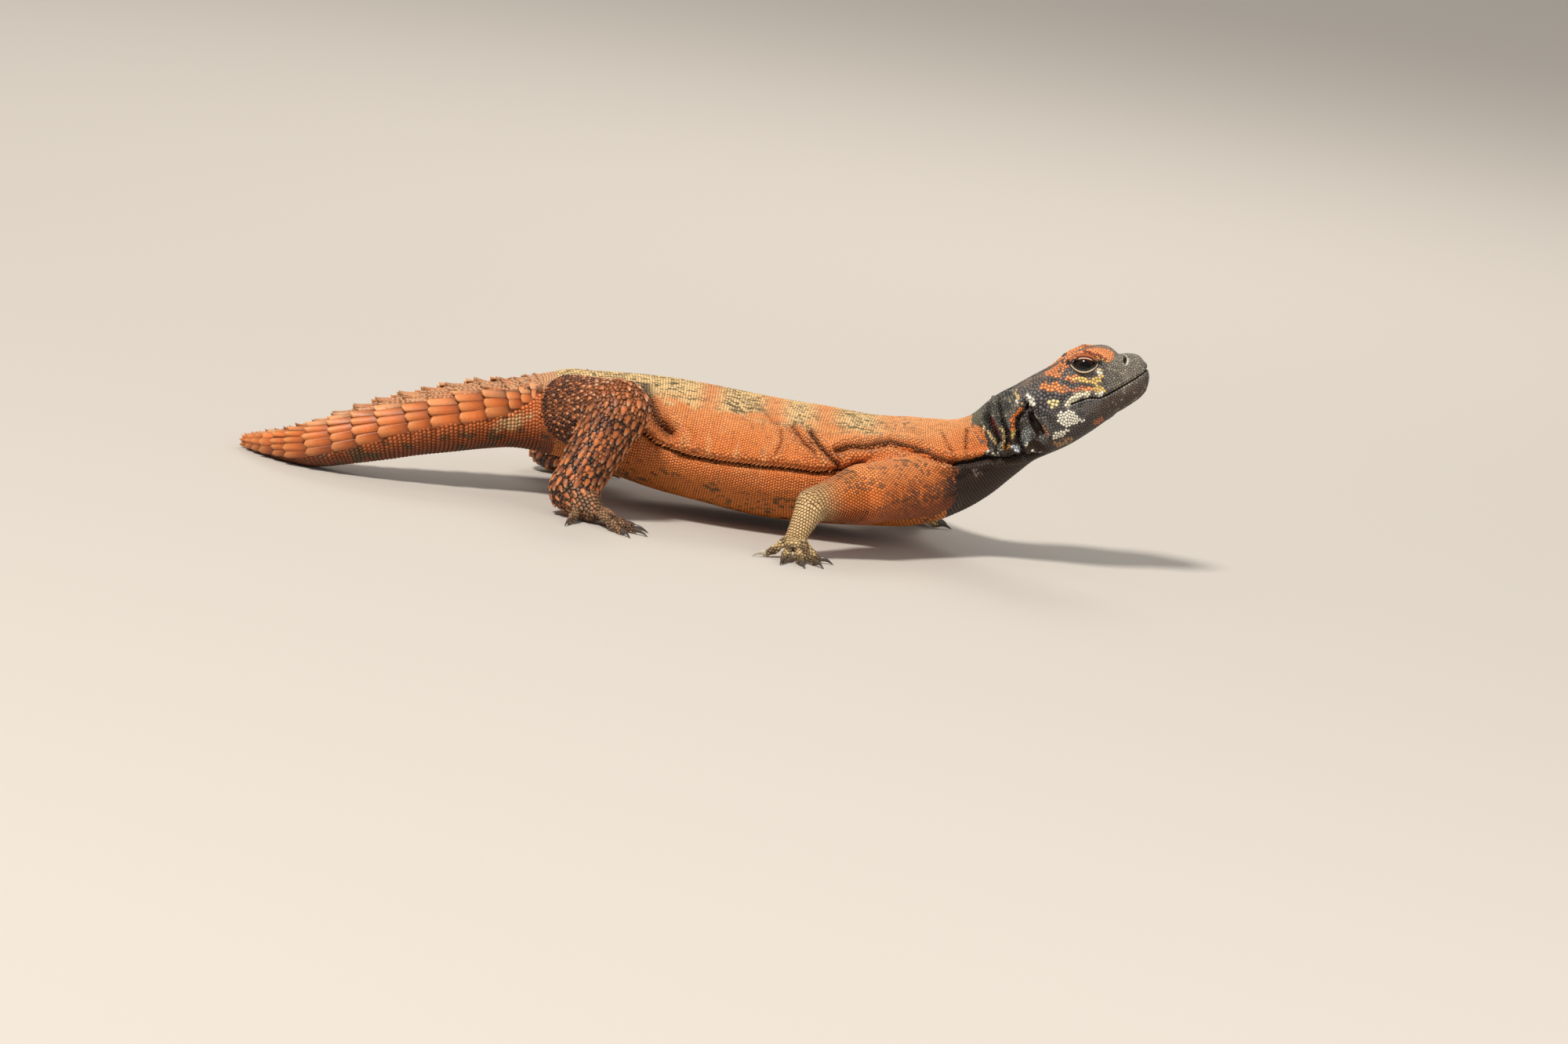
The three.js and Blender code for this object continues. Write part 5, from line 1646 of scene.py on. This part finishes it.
# The smooth rims: the hole, how far outside its edge, thickness, and colours above and below. Those
# of a nostril are in front and behind.
RIMS = [(OPENING, 0.05, 0.3, rgb("e0a98a"), rgb("17100c")),
        (OPENING, 0.85, 0.36, rgb("a95a30"), rgb("cfb695")),
        (NOSTRIL, 0.25, 0.3, rgb("efe6d4"), rgb("59514a"))]
RIM_SIDES = 6


def rim_line(hole, grown, side):
    """The middle line of a rim, and the point that it faces away from."""
    around = ellipse(hole, 0.38, grown)
    if hole is NOSTRIL:
        return side_hits(around, side), from_head([hole.along, side * (EYE.left - 2.5), hole.rise])
    centre = from_head([EYE.along, side * EYE.left, EYE.rise])
    if grown > 0.5:
        return side_hits(around, side), centre
    away = around - [EYE.along, EYE.rise]
    reach = np.sqrt(np.maximum((EYE.radius + 0.12) ** 2 - np.sum(away ** 2, 1), 1))
    return from_head(np.stack([around[:, 0], side * (EYE.left + reach), around[:, 1]], -1)), centre


def smooth_rims(coat, places):
    """Smooth rims along the lids' edges and round the nostrils, as short closed lengths that meet
    end to end."""
    made = []
    turn = turns(RIM_SIDES)
    for side in (-1, 1):
        for hole, grown, thickness, upper, lower in RIMS:
            line, centre = rim_line(hole, grown, side)
            along = unit(np.roll(line, -1, 0) - np.roll(line, 1, 0))
            out = unit(line - centre)
            across = np.cross(along, out)
            forward, up = turned(to_head(line), hole)
            if hole is NOSTRIL:
                up = forward * hole.size[1] / hole.size[0] + 0.1
            share = np.clip(np.abs(up) / hole.size[1], 0, 1)
            thick = (thickness * (0.55 + 0.45 * share))[:, None, None]
            ring = line[:, None] + thick * (out[:, None] * (0.35 + np.cos(turn)[:, None])
                                            + across[:, None] * np.sin(turn)[:, None])
            tint = np.where(up[:, None] > 0, upper, lower)
            tint = mixed(tint, BLACK, (1 - ramp(share, 0.12, 0.4)) * (hole is OPENING))
            tints = np.repeat(tint[:, None], 2 * RIM_SIDES, 1)
            spot = places[nearest(line, coat.root)[0]]
            ends = np.repeat([0, SCALE_PATCH / 2], RIM_SIDES)
            flat = np.stack([np.tile(turn * 0.0004, 2), ends], -1)
            made.append((np.concatenate([ring, np.roll(ring, -1, 0)], 1), tints,
                         on_unwrap(spot, flat[None]), ring_faces(RIM_SIDES, 2, True)))
    return made


def set_inputs(node, values):
    for name, value in values.items():
        node.inputs[name].default_value = value
    return node


def new_material(name, values):
    """A material with values set on its shader, with its nodes and links."""
    material = bpy.data.materials.new(name)
    material.use_nodes = True
    nodes = material.node_tree.nodes
    return material, nodes, material.node_tree.links, set_inputs(nodes["Principled BSDF"], values)


def colour_material(name, roughness, bump_scale, bump_strength, specular=0.4):
    """Skin or scales: the markings with a fine mottle, and fine grain in the surface."""
    material, nodes, links, shader = new_material(
        name, {"Roughness": roughness, "Specular IOR Level": specular})
    markings = nodes.new("ShaderNodeAttribute")
    markings.attribute_name = "markings"
    where = nodes.new("ShaderNodeTexCoord").outputs["Object"]
    mottle = set_inputs(nodes.new("ShaderNodeTexNoise"), {"Scale": 900, "Detail": 3})
    levels = set_inputs(nodes.new("ShaderNodeMapRange"), {"To Min": 0.78, "To Max": 1.16})
    tinted = nodes.new("ShaderNodeMix")
    tinted.data_type = "RGBA"
    tinted.blend_type = "MULTIPLY"
    tinted.inputs["Factor"].default_value = 1
    grain = set_inputs(nodes.new("ShaderNodeTexNoise"), {"Scale": bump_scale, "Detail": 4})
    bump = set_inputs(nodes.new("ShaderNodeBump"), {"Strength": bump_strength, "Distance": 0.0002})
    links.new(where, mottle.inputs["Vector"])
    links.new(where, grain.inputs["Vector"])
    links.new(mottle.outputs["Fac"], levels.inputs["Value"])
    links.new(markings.outputs["Color"], tinted.inputs[6])
    links.new(levels.outputs["Result"], tinted.inputs[7])
    links.new(tinted.outputs[2], shader.inputs["Base Color"])
    links.new(grain.outputs["Fac"], bump.inputs["Height"])
    links.new(bump.outputs["Normal"], shader.inputs["Normal"])
    return material


def eyeball(side):
    """A dark, wet eyeball with a round pupil and a brown iris."""
    rings, sides = 24, 40
    polar = np.repeat(np.linspace(0, math.pi, rings), sides)
    turn = np.tile(turns(sides), rings)
    local = np.stack([np.sin(polar) * np.cos(turn), side * np.cos(polar),
                      np.sin(polar) * np.sin(turn)], -1)
    centre = np.array([EYE.along, side * EYE.left, EYE.rise])
    points = from_head(centre + EYE.radius * local)
    corner = np.arange(rings * sides).reshape(rings, sides)
    beside = np.roll(corner, -1, axis=1)
    faces = np.stack([corner[:-1], corner[1:], beside[1:], beside[:-1]], -1).reshape(-1, 4)
    if side > 0:
        faces = faces[:, ::-1]
    from_axis = np.degrees(polar)
    colour = layered(points, rgb("0d0805"), [
        ("3a1c0e", bell(from_axis, 40, 7) * 0.55),
        ("040303", 1 - ramp(from_axis, 24, 30)),
    ])
    piece = new_mesh(("right" if side < 0 else "left") + "_eyeball", points, faces, colour)
    shape = bmesh.new()
    shape.from_mesh(piece.data)
    bmesh.ops.remove_doubles(shape, verts=shape.verts, dist=1e-6)
    shape.to_mesh(piece.data)
    shape.free()
    return piece


CLAW_RINGS, CLAW_SIDES = 7, 8


def claw(leg, i, colour):
    """The points and tints of one curved, pointed claw, ring by ring."""
    chain, way = digit_chain(leg, i)
    tip, radius = np.array(chain[-1][:3]), chain[-1][3]
    length = leg["claw"] + 1.6
    f = np.linspace(0, 1, CLAW_RINGS)
    centre = tip + way * (radius * 0.2 + length * f)[:, None]
    arch = radius * 0.42 * np.sin(math.pi * np.minimum(1, f * 1.1))
    centre[:, 2] = tip[2] + 0.25 + arch - (tip[2] + 0.05) * f ** 2
    thick = (0.92 * (1 - f) ** 0.7 + 0.06)[:, None, None]
    turn = turns(CLAW_SIDES)[:, None]
    ring = np.cross([0, 0, 1], way) * 0.68 * np.cos(turn) + [0, 0, 1] * np.sin(turn)
    points = (centre[:, None] + thick * ring).reshape(-1, 3)
    points[:, 2] = np.maximum(points[:, 2], LOWEST.claws)
    return points, np.repeat(colour * (1 - 0.55 * f)[:, None], CLAW_SIDES, 0)


def claw_block():
    """The points, faces and tints of the claws on all the digits."""
    made = [claw(leg, i, rgb("d8cdb8" if (name, i) == ("right_fore", 4) else "5a4d44"))
            for name, leg in LEGS.items() for i in range(5)]
    points, tints = (np.concatenate(rows) for rows in zip(*made))
    starts = CLAW_RINGS * CLAW_SIDES * np.arange(len(made))[:, None, None]
    faces = (ring_faces(CLAW_SIDES, CLAW_RINGS, True)[None] + starts).reshape(-1, 3)
    return points, faces, tints


coat = build_scales()
print("scales", len(coat.root), [int((coat.piece == i).sum()) for i in range(len(PIECES))])
colours = paint(coat) * RANDOM.uniform(0.86, 1.1, (len(coat.root), 1))
places = unwrapped(coat)
scale_finish = colour_material("scales", 0.46, 2600, 0.25, 0.5)
skin_finish = colour_material("skin", 0.6, 1800, 0.5)
eye_finish = colour_material("wet_eye", 0.05, 200, 0.0, 0.28)
claw_finish = colour_material("claw", 0.32, 900, 0.15)

blocks = coat_blocks(coat, colours, places)
blocks["coat_head"] += smooth_rims(coat, places)
blocks["coat_tail"] += tail_spines()
for name in ("coat_right_hindleg", "coat_left_hindleg"):
    blocks[name].append(raised_scales(name, coat, places))
blocks["coat_back_rear"].append(fringe_scales())
pieces = {name: coat_piece(name, rows) for name, rows in blocks.items()}

# The skin takes the markings of the nearest scales, darker between them, with painted shade darkest in
# the openings.
skin_colours = colours[nearest(skin.points, coat.root)[0]]
skin_colours *= 0.38 + 0.2 * ramp(to_head(skin.points)[:, 0], 22, 28)[:, None]
skin_colours = mixed(skin_colours, UMBER * 0.5, opened(skin.points))
halves = np.concatenate([skin.faces[:, [0, 1, 2]], skin.faces[:, [0, 2, 3]]])
halves = halves[(halves[:, 1] != halves[:, 2]) & (halves[:, 0] != halves[:, 2])]
skin_piece = new_mesh("body_skin", skin.points, halves, skin_colours)
skin_piece.data.materials.append(skin_finish)
claws = new_mesh("claws", *claw_block())
claws.data.materials.append(claw_finish)
eyes = [eyeball(side) for side in (-1, 1)]
for piece in eyes:
    piece.data.materials.append(eye_finish)
    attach(piece, "root")
    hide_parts(piece.name.replace("eyeball", "eye"))
for piece in pieces.values():
    piece.data.materials.append(scale_finish)
    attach(piece, "root")
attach(skin_piece, "root")
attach(claws, "root")
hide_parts(*[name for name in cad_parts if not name.endswith("_eye")])


def add_floor():
    """A plain pale floor."""
    mesh = bpy.data.meshes.new("floor")
    reach = 4.0
    corners = [(-reach, -reach, 0), (reach, -reach, 0), (reach, reach, 0), (-reach, reach, 0)]
    mesh.from_pydata(corners, [], [(0, 1, 2, 3)])
    floor = new_object("floor", mesh)
    finish = new_material("floor", {"Base Color": (*rgb("c3bbb1"), 1), "Roughness": 0.9})[0]
    mesh.materials.append(finish)


def add_light(name, place, size, power, colour):
    light = bpy.data.lights.new(name, "AREA")
    light.shape = "DISK"
    light.size = size
    light.energy = power
    light.color = colour
    lamp = new_object(name, light)
    lamp.location = place
    lamp.rotation_euler = (-Vector(place)).to_track_quat("-Z", "Y").to_euler()
    lamp.visible_glossy = name == "key"


def add_lights():
    """A high key from the left of the picture, a soft fill and a weak light from behind."""
    add_light("key", (-1.0, -1.7, 2.7), 0.6, 116, (1.0, 0.965, 0.91))
    add_light("fill", (1.1, -0.9, 0.7), 1.2, 5, (0.93, 0.96, 1.0))
    add_light("back", (0.2, 1.1, 0.9), 0.6, 6, (1.0, 0.97, 0.93))
    world = bpy.data.worlds.new("studio")
    world.use_nodes = True
    set_inputs(world.node_tree.nodes["Background"],
               {"Color": (0.87, 0.87, 0.86, 1), "Strength": 0.42})
    bpy.context.scene.world = world
    bpy.context.scene.view_settings.view_transform = "Standard"


# The camera looks from the animal's right, a little from above, and rolled as the ground slopes.
IMAGE_WIDTH, IMAGE_HEIGHT = 2000, 1332
PIXELS_PER_MM = 3.7
CAMERA_ROLL = math.radians(8)
CAMERA_RISE = math.radians(9)
CAMERA_DISTANCE = 4000
SENSOR_WIDTH = 36
ORIGIN_PIXEL_Y = 673  # the picture's row of the animal's own origin, which lies at its middle column


def add_camera():
    """The camera of the photograph, far away with a long lens."""
    camera = bpy.data.cameras.new("camera")
    camera.sensor_width = SENSOR_WIDTH
    camera.lens = SENSOR_WIDTH * CAMERA_DISTANCE / (IMAGE_WIDTH / PIXELS_PER_MM)
    camera.clip_end = 30
    back = Vector((0, -math.cos(CAMERA_RISE), math.sin(CAMERA_RISE)))
    level = Vector((1, 0, 0))
    upright = Vector((0, math.sin(CAMERA_RISE), math.cos(CAMERA_RISE)))
    right = level * math.cos(CAMERA_ROLL) + upright * math.sin(CAMERA_ROLL)
    up = upright * math.cos(CAMERA_ROLL) - level * math.sin(CAMERA_ROLL)
    pose = Matrix((right, up, back)).transposed().to_4x4()
    middle = Vector(SHIFT) + up * ((ORIGIN_PIXEL_Y - IMAGE_HEIGHT / 2) / PIXELS_PER_MM)
    pose.translation = (middle + back * CAMERA_DISTANCE) * MM
    viewer = new_object("camera", camera)
    viewer.matrix_world = pose
    bpy.context.scene.camera = viewer


add_floor()
add_lights()
add_camera()
